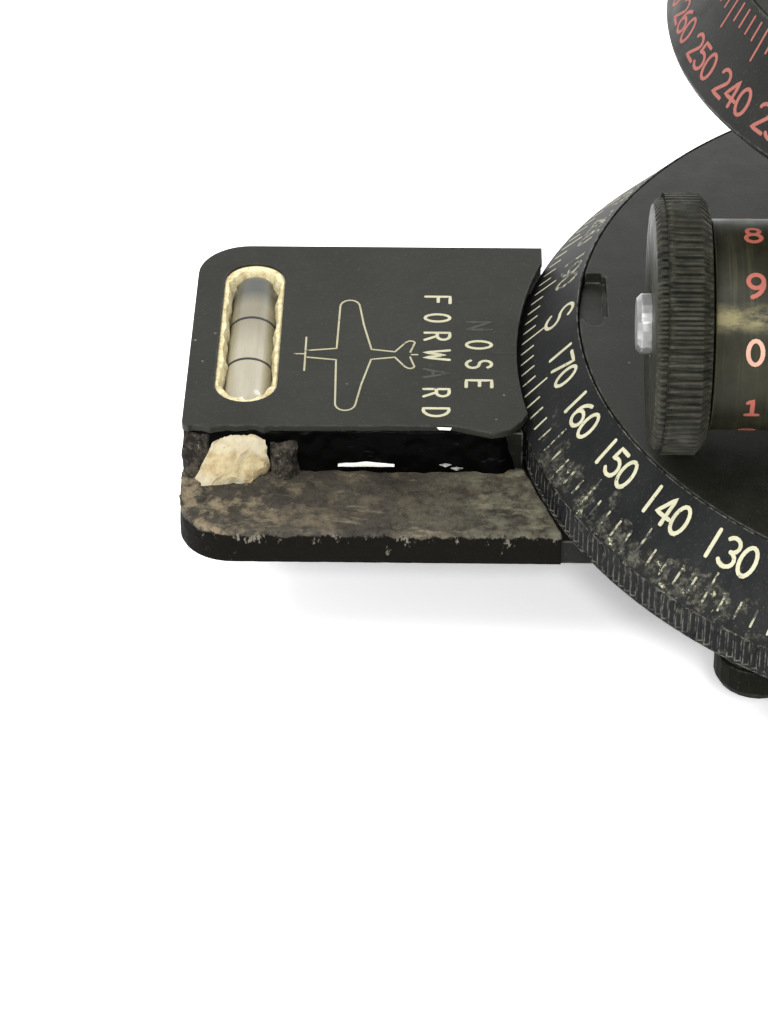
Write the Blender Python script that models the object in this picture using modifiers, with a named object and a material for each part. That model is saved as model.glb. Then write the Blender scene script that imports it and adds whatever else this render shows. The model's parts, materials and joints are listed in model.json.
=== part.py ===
"""Astro compass: a levelled base with a bearing ring, a worm-driven latitude tilt, an hour circle and
declination sights.

Axes: the bearing ring turns about +Z through the origin, the heading lug points along -X, and the foot
rests on the plane Z = 0. Sizes below are in millimetres, and every helper turns them into metres.
"""

import math

import bmesh
import bpy
from mathutils import Matrix, Vector

MM = 0.001
GAP = 0.3

# Foot, levelling screws and pivot ball
FOOT_RADIUS = 25.0
FOOT_THICK = 5.0
FOOT_TOP = 13.4
FOOT_BOSS_RADIUS = 12.0
BALL_RADIUS = 4.0
BALL_LEVEL = 14.0
ARM_BOTTOM = 11.4
SCREW_REACH = 48.5
SCREW_HEAD_RADIUS = 4.8
SCREW_HEAD_BOTTOM = 6.7
SCREW_SHANK_RADIUS = 1.6
STEM_TRAVEL = 2.2

# Base casting and its two level lugs
BASE_RADIUS = 56.0
BASE_BOTTOM = 16.4
BASE_TOP = 18.6
BASE_HUB_RADIUS = 13.0
BASE_HUB_TOP = 25.0
LUG_BOTTOM = 15.6
LUG_LEDGE = 19.5
LUG_BLOCK_TOP = 24.5
LUG_END = 98.0
LUG_LEFT = 22.3
LUG_STEP = -14.0
LUG_RIGHT = -26.0
LUG_CORNER = 6.0
PLATE_THICK = 0.8
WINDOW_OUT = 94.8
WINDOW_IN = 87.7
WINDOW_LEFT = 18.4
WINDOW_RIGHT = -9.9
VIAL_RADIUS = 2.7
VIAL_LENGTH = 26.4
VIAL_LEVEL = 22.6

# Bearing ring and the plate inside it
RING_RADIUS = 61.0
RING_BOTTOM = 19.0
RIM_TOP = 23.1
BEVEL_FOOT_RADIUS = 60.6
BEVEL_FOOT = 23.5
BEVEL_TOP_RADIUS = 53.7
DECK_TOP = 30.5
DECK_BOTTOM = 27.6
DECK_RADIUS = 53.4
PIVOT_RADIUS = 5.0

# Latitude drive: knob, drum and worm on one shaft along X
DRIVE_Y = -23.3
DRIVE_LEVEL = 45.6
SHAFT_RADIUS = 3.2
KNOB_RADIUS = 13.8
KNOB_LEFT = -47.1
KNOB_RIGHT = -41.3
DRUM_RADIUS = 11.1
DRUM_RIGHT = -20.0
WORM_RADIUS = 5.0
WORM_LENGTH = 13.0
SHAFT_LEFT = -48.6
SHAFT_RIGHT = 46.0

# Latitude hinge, along Y, and the frame that tilts on it
HINGE_X = 30.0
HINGE_LEVEL = 61.6
HINGE_PIN_RADIUS = 2.9
POST_INNER = 29.5
POST_THICK = 4.0
SECTOR_RADIUS = 10.7
SECTOR_THICK = 4.0
TOOTH_STEP = 10.0
ARM_TOP = 66.4
ARM_THICK = 3.8
POLAR_HUB_RADIUS = 9.0

# Hour circle and its top plate, on a polar axis a little beyond the bearing axis
POLAR_X = 0.65
HOUR_RIM_RADIUS = 46.1
HOUR_RIM_LEVEL = 68.65
HOUR_BOTTOM = 67.2
HOUR_TOP_RADIUS = 40.5
HOUR_TOP = 78.3
HOUR_PLATE_TOP = 78.0
HOUR_PLATE_RADIUS = 39.8
SPINDLE_RADIUS = 4.0

# Declination drum and sights
DEC_LEVEL = 110.0
DEC_DRUM_RADIUS = 12.5
DEC_DRUM_HALF = 8.0
DEC_POST_INNER = 12.0
DEC_POST_THICK = 3.5
SIGHT_REACH = 28.0
SIGHT_TOP = 143.0


def new_collection(name):
    """Make a collection in the scene."""
    made = bpy.data.collections.new(name)
    bpy.context.scene.collection.children.link(made)
    return made


for old in list(bpy.data.objects):
    bpy.data.objects.remove(old, do_unlink=True)
PARTS = new_collection("astro_compass")
CUTTERS = new_collection("cutters")


# --- Materials ---------------------------------------------------------------------------------------


def principled(name, colour, roughness, metallic=0.0):
    """A Principled material of one colour."""
    made = bpy.data.materials.new(name)
    made.use_nodes = True
    shader = made.node_tree.nodes["Principled BSDF"]
    shader.inputs["Base Color"].default_value = (*colour, 1.0)
    shader.inputs["Roughness"].default_value = roughness
    shader.inputs["Metallic"].default_value = metallic
    made.diffuse_color = (*colour, 1.0)
    return made


BLACK_PAINT = principled("black_paint", (0.050, 0.050, 0.045), 0.55)
RING_PAINT = principled("ring_paint", (0.055, 0.056, 0.055), 0.45)
OLIVE_METAL = principled("olive_metal", (0.10, 0.10, 0.08), 0.5, 0.3)
DRUM_METAL = principled("drum_metal", (0.075, 0.075, 0.05), 0.4, 0.5)
STEEL = principled("steel", (0.45, 0.46, 0.45), 0.35, 1.0)
BRASS = principled("brass", (0.50, 0.38, 0.16), 0.35, 1.0)
PLASTER = principled("plaster", (0.72, 0.62, 0.40), 0.9)
VIAL_GLASS = principled("vial_glass", (0.55, 0.50, 0.42), 0.15)
SCREEN = principled("screen", (0.80, 0.80, 0.74), 0.4)


# --- Building blocks ---------------------------------------------------------------------------------


def add_object(name, mesh, paint=None):
    """Link a mesh as a part, or as a cutter when it has no paint."""
    made = bpy.data.objects.new(name, mesh)
    if paint:
        mesh.materials.append(paint)
        PARTS.objects.link(made)
    else:
        CUTTERS.objects.link(made)
        made.hide_render = True
        made.display_type = "WIRE"
    return made


def smooth(mesh, degrees=35.0):
    """Shade a mesh smooth, with sharp edges above an angle."""
    mesh.shade_smooth()
    mesh.set_sharp_from_angle(angle=math.radians(degrees))


def place(made, x=0.0, y=0.0, z=0.0, spin=None):
    """Put an object at a place in millimetres, turned by a rotation matrix."""
    made.matrix_world = Matrix.Translation(Vector((x, y, z)) * MM) @ (spin or Matrix.Identity(4))
    return made


ALONG_X = Matrix.Rotation(math.radians(90.0), 4, "Y")
ALONG_Y = Matrix.Rotation(math.radians(-90.0), 4, "X")
UPRIGHT_XZ = Matrix.Rotation(math.radians(90.0), 4, "X")
UPRIGHT_YZ = Matrix.Rotation(math.radians(90.0), 4, "Z") @ UPRIGHT_XZ


def turned(name, profile, paint=None, steps=24):
    """A turned solid about Z. The profile holds (radius, height) points that run down the outer side.

    A profile that starts and ends on the axis is solid, and any other one closes on itself as a ring.
    """
    mesh = bpy.data.meshes.new(name)
    points = [(radius * MM, 0.0, height * MM) for radius, height in profile]
    edges = [(i, i + 1) for i in range(len(points) - 1)]
    if profile[0][0] > 0.0:
        edges.append((len(points) - 1, 0))
    mesh.from_pydata(points, edges, [])
    made = add_object(name, mesh, paint)
    screw = made.modifiers.new("turn", "SCREW")
    screw.axis = "Z"
    screw.angle = math.tau
    screw.steps = screw.render_steps = steps
    screw.use_merge_vertices = True
    screw.merge_threshold = 0.00001
    screw.use_smooth_shade = False
    return made


def arc(x, y, radius, start, end, count):
    """Points along an arc, angles in degrees."""
    angles = [math.radians(start + (end - start) * i / count) for i in range(count + 1)]
    return [(x + radius * math.cos(a), y + radius * math.sin(a)) for a in angles]


def flat(name, loops, thick, paint=None):
    """A flat outline with holes, centred on its own mid-plane and made a mesh."""
    curve = bpy.data.curves.new(name, "CURVE")
    curve.dimensions = "2D"
    curve.fill_mode = "BOTH"
    curve.extrude = thick * MM / 2
    for loop in loops:
        spline = curve.splines.new("POLY")
        spline.points.add(len(loop) - 1)
        for point, (x, y) in zip(spline.points, loop):
            point.co = (x * MM, y * MM, 0.0, 1.0)
        spline.use_cyclic_u = True
    sketch = bpy.data.objects.new(name + "_outline", curve)
    CUTTERS.objects.link(sketch)
    graph = bpy.context.evaluated_depsgraph_get()
    mesh = bpy.data.meshes.new_from_object(sketch.evaluated_get(graph))
    shell = bmesh.new()
    shell.from_mesh(mesh)
    bmesh.ops.remove_doubles(shell, verts=shell.verts, dist=0.00001)
    shell.to_mesh(mesh)
    shell.free()
    made = add_object(name, mesh, paint)
    made.matrix_world = sketch.matrix_world.copy()
    bpy.data.objects.remove(sketch, do_unlink=True)
    return made


def block(name, low, high, paint=None):
    """A box between two corners."""
    mesh = bpy.data.meshes.new(name)
    shape = bmesh.new()
    size = [(b - a) * MM for a, b in zip(low, high)]
    centre = [(a + b) * MM / 2 for a, b in zip(low, high)]
    bmesh.ops.create_cube(shape, size=1.0, matrix=Matrix.Translation(centre) @ Matrix.Diagonal((*size, 1.0)))
    shape.to_mesh(mesh)
    shape.free()
    return add_object(name, mesh, paint)


def ball(name, radius, paint=None):
    """A sphere at the origin."""
    mesh = bpy.data.meshes.new(name)
    shape = bmesh.new()
    bmesh.ops.create_uvsphere(shape, u_segments=16, v_segments=8, radius=radius * MM)
    shape.to_mesh(mesh)
    shape.free()
    return add_object(name, mesh, paint)


def rod_profile(radius, bottom, top, bore=0.0, chamfer=0.0):
    """The turned profile of a plain rod or tube with its outer edges chamfered."""
    if chamfer:
        outer = [(radius - chamfer, top), (radius, top - chamfer), (radius, bottom + chamfer)]
        outer.append((radius - chamfer, bottom))
    else:
        outer = [(radius, top), (radius, bottom)]
    return [(bore, top), *outer, (bore, bottom)]


def boolean(made, other, operation):
    """Cut another object from this one, or join it to this one."""
    step = made.modifiers.new(operation.lower(), "BOOLEAN")
    step.operation = operation
    step.solver = "EXACT"
    step.object = other


def cut(made, *others):
    """Cut others out of an object."""
    for other in others:
        boolean(made, other, "DIFFERENCE")


def join(made, *others):
    """Join others to an object."""
    for other in others:
        boolean(made, other, "UNION")


def bevel(made, width, segments=2, degrees=40.0):
    """Round the edges that are sharper than an angle."""
    step = made.modifiers.new("edges", "BEVEL")
    step.width = width * MM
    step.segments = segments
    step.limit_method = "ANGLE"
    step.angle_limit = math.radians(degrees)


def hole(name, radius, x, y, low, high, spin=None, steps=20):
    """A round cutter from one height to another along its own axis."""
    return place(turned(name, rod_profile(radius, low, high), steps=steps), x, y, 0.0, spin)


def hex_nut(name, across, bore, thick):
    """A hexagonal nut about Z, centred on its own mid-plane."""
    corner = across / 2 / math.cos(math.radians(30.0))
    hole_outline = list(reversed(arc(0, 0, bore, 0, 330, 11)))
    return flat(name, [arc(0, 0, corner, 0, 300, 5), hole_outline], thick, STEEL)


# --- Foot and levelling ------------------------------------------------------------------------------

SCREW_SIDES = {"left": 225.0, "right": 315.0}


def screw_place(degrees):
    """Where a levelling screw stands."""
    turn = math.radians(degrees)
    return SCREW_REACH * math.cos(turn), SCREW_REACH * math.sin(turn)


def build_foot():
    """The foot with its socket and the two arms that carry the levelling screws."""
    foot = turned(
        "mount_foot",
        [(0, FOOT_TOP), (FOOT_BOSS_RADIUS, FOOT_TOP), (FOOT_BOSS_RADIUS, FOOT_THICK + 1)]
        + [(FOOT_BOSS_RADIUS + 1, FOOT_THICK), (FOOT_RADIUS - 1, FOOT_THICK), (FOOT_RADIUS, FOOT_THICK - 1)]
        + [(FOOT_RADIUS, 0), (0, 0)],
        BLACK_PAINT,
    )
    for side, degrees in SCREW_SIDES.items():
        root = FOOT_BOSS_RADIUS - 4.0
        end = SCREW_HEAD_RADIUS
        outline = arc(SCREW_REACH, 0, end, -90, 90, 10) + [(root, 6.5), (root, -6.5)]
        thick = FOOT_TOP - ARM_BOTTOM - 0.2
        arm = flat("arm_" + side, [outline], thick)
        turn = Matrix.Rotation(math.radians(degrees), 4, "Z")
        place(arm, z=ARM_BOTTOM + thick / 2, spin=turn)
        join(foot, arm)
        x, y = screw_place(degrees)
        cut(foot, hole("arm_hole_" + side, SCREW_SHANK_RADIUS + 0.4, x, y, 5.0, 20.0, steps=20))
    cut(foot, place(ball("foot_socket", BALL_RADIUS + GAP), z=BALL_LEVEL))
    place(ball("pivot_ball", BALL_RADIUS, STEEL), z=BALL_LEVEL)


def build_levelling_screws():
    """Two thumb nuts under the arms, each lifting a threaded stem that pushes the base up."""
    radius = SCREW_HEAD_RADIUS
    bottom = SCREW_HEAD_BOTTOM
    top = ARM_BOTTOM - GAP
    bore = SCREW_SHANK_RADIUS + GAP
    floor = bottom + 0.4
    for side, degrees in SCREW_SIDES.items():
        x, y = screw_place(degrees)
        edge = [(radius - 0.3, top), (radius, top - 0.3)]
        edge += [(radius, bottom + 1.2), (radius - 0.4, bottom + 0.4)]
        profile = [(0, floor), (bore, floor), (bore, top), *edge, (radius - 1.2, bottom), (0, bottom)]
        place(turned("levelling_knob_" + side, profile, BLACK_PAINT), x, y)
        stem = rod_profile(SCREW_SHANK_RADIUS, floor + STEM_TRAVEL + GAP, BASE_BOTTOM - GAP, chamfer=0.2)
        place(turned("levelling_stem_" + side, stem, STEEL, 16), x, y)


# --- Base --------------------------------------------------------------------------------------------

LUG_TURNS = {"heading": 0.0, "side": -90.0}


def lug_spin(lug):
    """The turn that carries the heading lug's shape to a lug."""
    return Matrix.Rotation(math.radians(LUG_TURNS[lug]), 4, "Z")


def lug_outline(low_y, high_y, inner, low_corner, high_corner):
    """The plan of a lug, from its outer end in to a circle about the origin."""
    start = math.degrees(math.asin(high_y / inner))
    end = math.degrees(math.asin(low_y / inner))
    points = arc(0, 0, inner, 180 - start, 180 - end, 14)
    points += arc(-LUG_END + low_corner, low_y + low_corner, low_corner, 270, 180, 6)
    points += arc(-LUG_END + high_corner, high_y - high_corner, high_corner, 180, 90, 6)
    return points


def window_outline():
    """The stadium-shaped level window."""
    radius = (WINDOW_OUT - WINDOW_IN) / 2
    x = -(WINDOW_OUT + WINDOW_IN) / 2
    top = arc(x, WINDOW_LEFT - radius, radius, 0, 180, 10)
    return top + arc(x, WINDOW_RIGHT + radius, radius, 180, 360, 10)


def vial_middle():
    """The middle of the level vial along the lug's width and length."""
    return -(WINDOW_OUT + WINDOW_IN) / 2, (WINDOW_LEFT + WINDOW_RIGHT) / 2


def build_lug(base, lug):
    """Join one lug to the base casting, and add its label plate, plaster setting and vial."""
    spin = lug_spin(lug)
    flange = flat(lug + "_flange", [lug_outline(LUG_RIGHT, LUG_LEFT, 50.0, LUG_CORNER, LUG_CORNER)], 1.0)
    place(flange, z=LUG_BOTTOM, spin=spin @ Matrix.Diagonal((1, 1, LUG_LEDGE - LUG_BOTTOM, 1)))
    flange.location.z += (LUG_LEDGE - LUG_BOTTOM) / 2 * MM
    upper = lug_outline(LUG_STEP, LUG_LEFT, RING_RADIUS + 0.6, 1.5, LUG_CORNER)
    riser = flat(lug + "_riser", [upper], LUG_BLOCK_TOP - LUG_LEDGE + 1.0)
    place(riser, z=(LUG_BLOCK_TOP + LUG_LEDGE - 1.0) / 2, spin=spin)
    join(base, flange, riser)

    x, y = vial_middle()
    half_width = (WINDOW_OUT - WINDOW_IN) / 2
    half_length = (WINDOW_LEFT - WINDOW_RIGHT) / 2
    floor = LUG_LEDGE - 0.7
    pocket = block(
        lug + "_pocket",
        (x - half_width, y - half_length, floor),
        (x + half_width, y + half_length, LUG_BLOCK_TOP + 3.0),
    )
    pocket.matrix_world = spin
    cut(base, pocket)

    bed = block(
        lug + "_setting",
        (x - half_width + GAP, y - half_length + GAP, floor + GAP),
        (x + half_width - GAP, y + half_length - GAP, LUG_BLOCK_TOP),
        PLASTER,
    )
    bed.matrix_world = spin
    groove_length = VIAL_LENGTH + 2 * GAP
    groove_profile = rod_profile(VIAL_RADIUS + GAP, -groove_length / 2, groove_length / 2)
    groove = turned(lug + "_groove", groove_profile, steps=16)
    groove.matrix_world = spin @ Matrix.Translation(Vector((x, y, VIAL_LEVEL)) * MM) @ ALONG_Y
    over = block(
        lug + "_over",
        (x - VIAL_RADIUS - GAP, y - groove_length / 2, VIAL_LEVEL),
        (x + VIAL_RADIUS + GAP, y + groove_length / 2, LUG_BLOCK_TOP + 3.0),
    )
    over.matrix_world = spin
    join(groove, over)
    cut(bed, groove)

    half = VIAL_LENGTH / 2
    rounding = 1.4
    profile = [(0, half), (VIAL_RADIUS - rounding, half), (VIAL_RADIUS - 0.4, half - 0.4)]
    profile += [(VIAL_RADIUS, half - rounding)]
    profile += [(radius, -height) for radius, height in reversed(profile)]
    vial = turned(lug + "_vial", profile, VIAL_GLASS, steps=16)
    vial.matrix_world = spin @ Matrix.Translation(Vector((x, y, VIAL_LEVEL)) * MM) @ ALONG_Y

    plate = flat(
        lug + "_plate",
        [lug_outline(LUG_STEP + 0.6, LUG_LEFT, RING_RADIUS - 0.4, 0.8, LUG_CORNER), window_outline()],
        PLATE_THICK,
        BLACK_PAINT,
    )
    place(plate, z=LUG_BLOCK_TOP + GAP + PLATE_THICK / 2, spin=spin)


CLAMP_LEVEL = 21.2
CLAMP_IN = 61.6
CLAMP_OUT = 70.0


def build_base():
    """The base casting: a disc, a hub, a ball socket, two lugs and the clamp's ear."""
    base = turned(
        "base_casting",
        [(0, BASE_HUB_TOP), (BASE_HUB_RADIUS, BASE_HUB_TOP), (BASE_HUB_RADIUS, BASE_TOP)]
        + [(BASE_RADIUS, BASE_TOP), (BASE_RADIUS, BASE_BOTTOM), (8.0, BASE_BOTTOM), (8.0, 14.6), (0, 14.6)],
        BLACK_PAINT,
        steps=48,
    )
    build_lug(base, "heading")
    build_lug(base, "side")
    ear_floor = block("ear_floor", (50.0, -8.0, BASE_BOTTOM), (CLAMP_OUT, 8.0, BASE_TOP))
    ear = block("ear", (CLAMP_IN - 1.0, -8.0, BASE_BOTTOM + 0.5), (CLAMP_OUT - 0.5, 8.0, 26.0))
    join(base, ear_floor, ear)
    sweep = turned("ring_sweep", rod_profile(RING_RADIUS + 0.5, RING_BOTTOM - 0.4, 40.0), steps=60)
    bore = turned("ring_sweep_core", rod_profile(BASE_HUB_RADIUS + 6.0, RING_BOTTOM - 2.0, 42.0))
    cut(sweep, bore)
    cut(base, sweep)
    cut(base, place(ball("base_socket", BALL_RADIUS + GAP), z=BALL_LEVEL))
    cut(base, hole("pivot_hole", PIVOT_RADIUS + GAP, 0, 0, 20.0, 40.0))
    ear_hole = turned("ear_hole", rod_profile(2.8, 55.0, 80.0), steps=20)
    cut(base, place(ear_hole, z=CLAMP_LEVEL, spin=ALONG_X))

    washer = rod_profile(12.0, BASE_HUB_TOP + GAP, DECK_BOTTOM - GAP, PIVOT_RADIUS + GAP)
    turned("azimuth_washer", washer, BRASS)
    turned(
        "azimuth_pivot",
        [(0, 33.4), (7.2, 33.4), (8.0, 32.6), (8.0, DECK_TOP + GAP), (PIVOT_RADIUS, DECK_TOP + GAP)]
        + [(PIVOT_RADIUS, 20.3), (0, 20.3)],
        STEEL,
        steps=20,
    )


def thumb_profile(radius, length, shank, reach):
    """A thumbscrew: its head from 0 up to a length, and its shank down from the head by a reach."""
    edge = 0.6
    head = [(0, length), (radius - edge, length), (radius, length - edge), (radius, edge), (radius - edge, 0)]
    return head + [(shank, 0), (shank, -reach), (0, -reach)]


def build_azimuth_clamp():
    """The thumbscrew that holds the bearing ring."""
    head_start = CLAMP_OUT + 0.6
    profile = thumb_profile(6.0, 8.0, 2.4, head_start - RING_RADIUS - GAP)
    screw = turned("azimuth_clamp_screw", profile, OLIVE_METAL, 20)
    place(screw, head_start, 0, CLAMP_LEVEL, ALONG_X)


# --- Bearing body ------------------------------------------------------------------------------------


def build_bearing():
    """The bearing ring with its bevel, and the flat deck inside it."""
    ledge = DECK_BOTTOM - GAP
    turned(
        "bearing_ring",
        [(BEVEL_TOP_RADIUS, DECK_TOP), (BEVEL_FOOT_RADIUS, BEVEL_FOOT), (RING_RADIUS, RIM_TOP)]
        + [(RING_RADIUS, RING_BOTTOM + 0.4), (RING_RADIUS - 0.4, RING_BOTTOM), (48.0, RING_BOTTOM)]
        + [(48.0, ledge), (BEVEL_TOP_RADIUS, ledge)],
        RING_PAINT,
        steps=72,
    )
    deck = turned(
        "deck_plate",
        [(PIVOT_RADIUS + GAP, DECK_TOP), (DECK_RADIUS, DECK_TOP), (DECK_RADIUS, DECK_BOTTOM)]
        + [(PIVOT_RADIUS + GAP, DECK_BOTTOM)],
        BLACK_PAINT,
        steps=60,
    )
    notch = block("notch", (-60.0, 0.0, DECK_TOP - 1.0), (-50.8, 9.6, DECK_TOP + 2.0))
    cut(deck, notch, hole("notch_hole", 1.1, -51.6, -0.2, DECK_TOP - 1.6, DECK_TOP + 2.0, steps=16))


def post_outline():
    """A hinge post seen along Y, from the deck up to its round head."""
    low = DECK_TOP + GAP
    head = arc(HINGE_X, HINGE_LEVEL, 5.0, 0, 180, 12)
    left = [(25.0, 44.0), (20.0, 35.0), (20.0, low)]
    right = [(39.0, low), (39.0, 35.0), (35.0, 44.0)]
    return head + left + right


def build_hinge_posts():
    """Two posts that carry the latitude hinge."""
    bore = list(reversed(arc(HINGE_X, HINGE_LEVEL, HINGE_PIN_RADIUS + GAP, 0, 330, 11)))
    for side, sign in (("front", -1), ("rear", 1)):
        post = flat("hinge_post_" + side, [post_outline(), bore], POST_THICK, BLACK_PAINT)
        place(post, y=sign * (POST_INNER + POST_THICK / 2), spin=UPRIGHT_XZ)


def bracket_outline(half_foot, head):
    """A shaft bracket seen along X, centred on the shaft."""
    low = DECK_TOP + GAP - DRIVE_LEVEL
    return arc(0, 0, head, 0, 180, 10) + [(-head, low + 5), (-half_foot, low + 2), (-half_foot, low)] + [
        (half_foot, low),
        (half_foot, low + 2),
        (head, low + 5),
    ]


def build_shaft_brackets():
    """Two brackets that carry the worm shaft."""
    bore = list(reversed(arc(0, 0, SHAFT_RADIUS + GAP, 0, 330, 11)))
    for name, x, head in (("shaft_bracket_front", -15.0, 5.4), ("shaft_bracket_rear", 40.0, 5.0)):
        bracket = flat(name, [bracket_outline(5.8, head), bore], 4.0, BLACK_PAINT)
        place(bracket, x, DRIVE_Y, DRIVE_LEVEL, UPRIGHT_YZ)


# --- Latitude drive ----------------------------------------------------------------------------------


def on_drive(made):
    """Lay a turned piece on the drive shaft's axis, its heights becoming X."""
    return place(made, 0, DRIVE_Y, DRIVE_LEVEL, ALONG_X)


def worm_mesh(around=14, along=20, turns=3.0):
    """A worm: a tube whose outer surface is a helical thread."""
    depth = 0.9
    start = HINGE_X - WORM_LENGTH / 2
    bore = (SHAFT_RADIUS + GAP) * MM
    shape = bmesh.new()
    rings = []
    for i in range(along + 1):
        share = i / along
        ring = []
        for j in range(around):
            phase = (share * turns - j / around) % 1.0
            tooth = min(1.0, max(0.0, 2.0 - 6.0 * abs(phase - 0.5)))
            taper = min(1.0, 12.0 * share, 12.0 * (1.0 - share))
            radius = (WORM_RADIUS - depth + depth * tooth * taper) * MM
            turn = math.tau * j / around
            x = (start + WORM_LENGTH * share) * MM
            ring.append(shape.verts.new((radius * math.cos(turn), radius * math.sin(turn), x)))
        rings.append(ring)
    for share in (1.0, 0.0):
        x = (start + WORM_LENGTH * share) * MM
        angles = [math.tau * j / around for j in range(around)]
        rings.append([shape.verts.new((bore * math.cos(a), bore * math.sin(a), x)) for a in angles])
    rings.append(rings[0])
    for low, high in zip(rings, rings[1:]):
        for j in range(around):
            k = (j + 1) % around
            shape.faces.new((low[j], low[k], high[k], high[j]))
    bmesh.ops.recalc_face_normals(shape, faces=shape.faces)
    mesh = bpy.data.meshes.new("latitude_worm")
    shape.to_mesh(mesh)
    shape.free()
    return mesh


def build_latitude_drive():
    """Knob, drum, shaft, worm and collar, all turning about the drive axis."""
    bore = SHAFT_RADIUS + GAP
    edge = 1.3
    knob = [(bore, KNOB_RIGHT), (KNOB_RADIUS - edge, KNOB_RIGHT), (KNOB_RADIUS, KNOB_RIGHT - edge)]
    knob += [(KNOB_RADIUS, KNOB_LEFT + edge), (KNOB_RADIUS - edge, KNOB_LEFT), (bore, KNOB_LEFT)]
    on_drive(turned("latitude_knob", knob, OLIVE_METAL, 36))
    drum = rod_profile(DRUM_RADIUS, KNOB_RIGHT + GAP, DRUM_RIGHT, bore, 0.3)
    on_drive(turned("latitude_drum", drum, DRUM_METAL, 36))
    on_drive(turned("worm_shaft", rod_profile(SHAFT_RADIUS, SHAFT_LEFT, SHAFT_RIGHT, chamfer=0.5), STEEL, 20))
    on_drive(add_object("latitude_worm", worm_mesh(), BRASS))
    on_drive(turned("shaft_collar", rod_profile(WORM_RADIUS - 0.2, 42.4, 45.4, bore, 0.4), STEEL, 20))


# --- Tilting polar frame -----------------------------------------------------------------------------


def sector_outline(radius, tooth, start, end, hub):
    """A toothed sector about the origin, with a round hub; angles in degrees."""
    points = []
    count = round((end - start) / TOOTH_STEP)
    for i in range(count):
        first = start + i * TOOTH_STEP
        for share, height in ((0.0, 0.0), (0.28, 0.0), (0.42, tooth), (0.78, tooth), (0.92, 0.0)):
            turn = math.radians(first + share * TOOTH_STEP)
            reach = radius - tooth + height
            points.append((reach * math.cos(turn), reach * math.sin(turn)))
    turn = math.radians(end)
    points.append(((radius - tooth) * math.cos(turn), (radius - tooth) * math.sin(turn)))
    return points + arc(0, 0, hub, end + 30, start + 330, 14)


def build_hinge():
    """The hinge pin, the worm's toothed sector and the coarse latitude scale."""
    pin_half = POST_INNER + POST_THICK + 4.4
    pin = turned("hinge_pin", rod_profile(HINGE_PIN_RADIUS, -pin_half, pin_half, chamfer=0.4), STEEL, 20)
    place(pin, HINGE_X, 0, HINGE_LEVEL, ALONG_Y)
    bore = list(reversed(arc(0, 0, HINGE_PIN_RADIUS + GAP, 0, 330, 11)))
    teeth = sector_outline(SECTOR_RADIUS, 0.8, -100, 10, 4.8)
    sector = flat("latitude_sector", [teeth, bore], SECTOR_THICK, BRASS)
    place(sector, HINGE_X, DRIVE_Y, HINGE_LEVEL, UPRIGHT_XZ)
    rim = arc(0, 0, 14.0, -104, 14, 18) + arc(0, 0, 4.8, 44, 226, 14)
    scale = flat("latitude_scale", [rim, bore], 1.6, BLACK_PAINT)
    place(scale, HINGE_X, -(POST_INNER + POST_THICK + 1.4), HINGE_LEVEL, UPRIGHT_XZ)
    for side, sign in (("front", -1), ("rear", 1)):
        reach = POST_INNER + POST_THICK + (3.8 if sign < 0 else 1.6)
        nut = hex_nut("hinge_nut_" + side, 8.0, HINGE_PIN_RADIUS + GAP, 2.2)
        place(nut, HINGE_X, sign * reach, HINGE_LEVEL, ALONG_Y)


def build_polar_arm():
    """The arm that carries the polar spindle and hinges on the pin."""
    tongue = 49.0
    outline = [(HINGE_X + 1.0, 20.0), (HINGE_X - 3.0, 20.0)]
    outline += [(12.0, 14.0), (5.0, 17.0), (5.0, tongue), (-5.0, tongue), (-5.0, 13.0)]
    outline += arc(0, 0, 14.0, 112, 270, 14) + [(12.0, -14.0), (HINGE_X - 3.0, -20.0), (HINGE_X + 1.0, -20.0)]
    outline += [(HINGE_X + 1.0, -12.0), (HINGE_X - 6.5, -12.0), (HINGE_X - 6.5, 12.0), (HINGE_X + 1.0, 12.0)]
    arm = flat("polar_arm", [outline], ARM_THICK, BLACK_PAINT)
    place(arm, z=ARM_TOP - ARM_THICK / 2)
    hub = turned("polar_hub", rod_profile(POLAR_HUB_RADIUS, 59.5, ARM_TOP - 0.4), steps=24)
    join(arm, hub)
    for side, middle in (("front", -16.0), ("rear", 16.0)):
        barrel = turned("barrel_" + side, rod_profile(4.6, -3.7, 3.7))
        join(arm, place(barrel, HINGE_X, middle, HINGE_LEVEL, ALONG_Y))
    pin_cut = turned("pin_cut", rod_profile(HINGE_PIN_RADIUS + GAP, -40.0, 40.0), steps=16)
    cut(arm, place(pin_cut, HINGE_X, 0, HINGE_LEVEL, ALONG_Y))
    cut(arm, hole("spindle_cut", SPINDLE_RADIUS + GAP, 0, 0, 50.0, 80.0, steps=20))
    cut(arm, hole("clamp_cut", 2.3, 0, HOUR_CLAMP_Y, 50.0, 80.0, steps=20))

    strip_low = HINGE_LEVEL + HINGE_PIN_RADIUS + 0.4
    strip = block("hour_index", (HINGE_X - 6.2, -3.0, strip_low), (48.6, 3.0, ARM_TOP), BLACK_PAINT)
    tab = block("index_tab", (47.0, -2.5, strip_low + 0.4), (48.5, 2.5, 74.0))
    join(strip, tab)


HOUR_CLAMP_Y = 44.4


def build_hour_clamp():
    """The thumbscrew under the rim that holds the hour circle."""
    head_top = ARM_TOP - ARM_THICK - 0.5
    profile = thumb_profile(5.2, 6.5, 1.9, HOUR_BOTTOM - GAP - head_top)
    screw = turned("hour_clamp_screw", profile, OLIVE_METAL, 20)
    upside_down = Matrix.Rotation(math.radians(180.0), 4, "X")
    place(screw, 0, HOUR_CLAMP_Y, head_top, upside_down)


# --- Hour circle -------------------------------------------------------------------------------------


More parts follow.
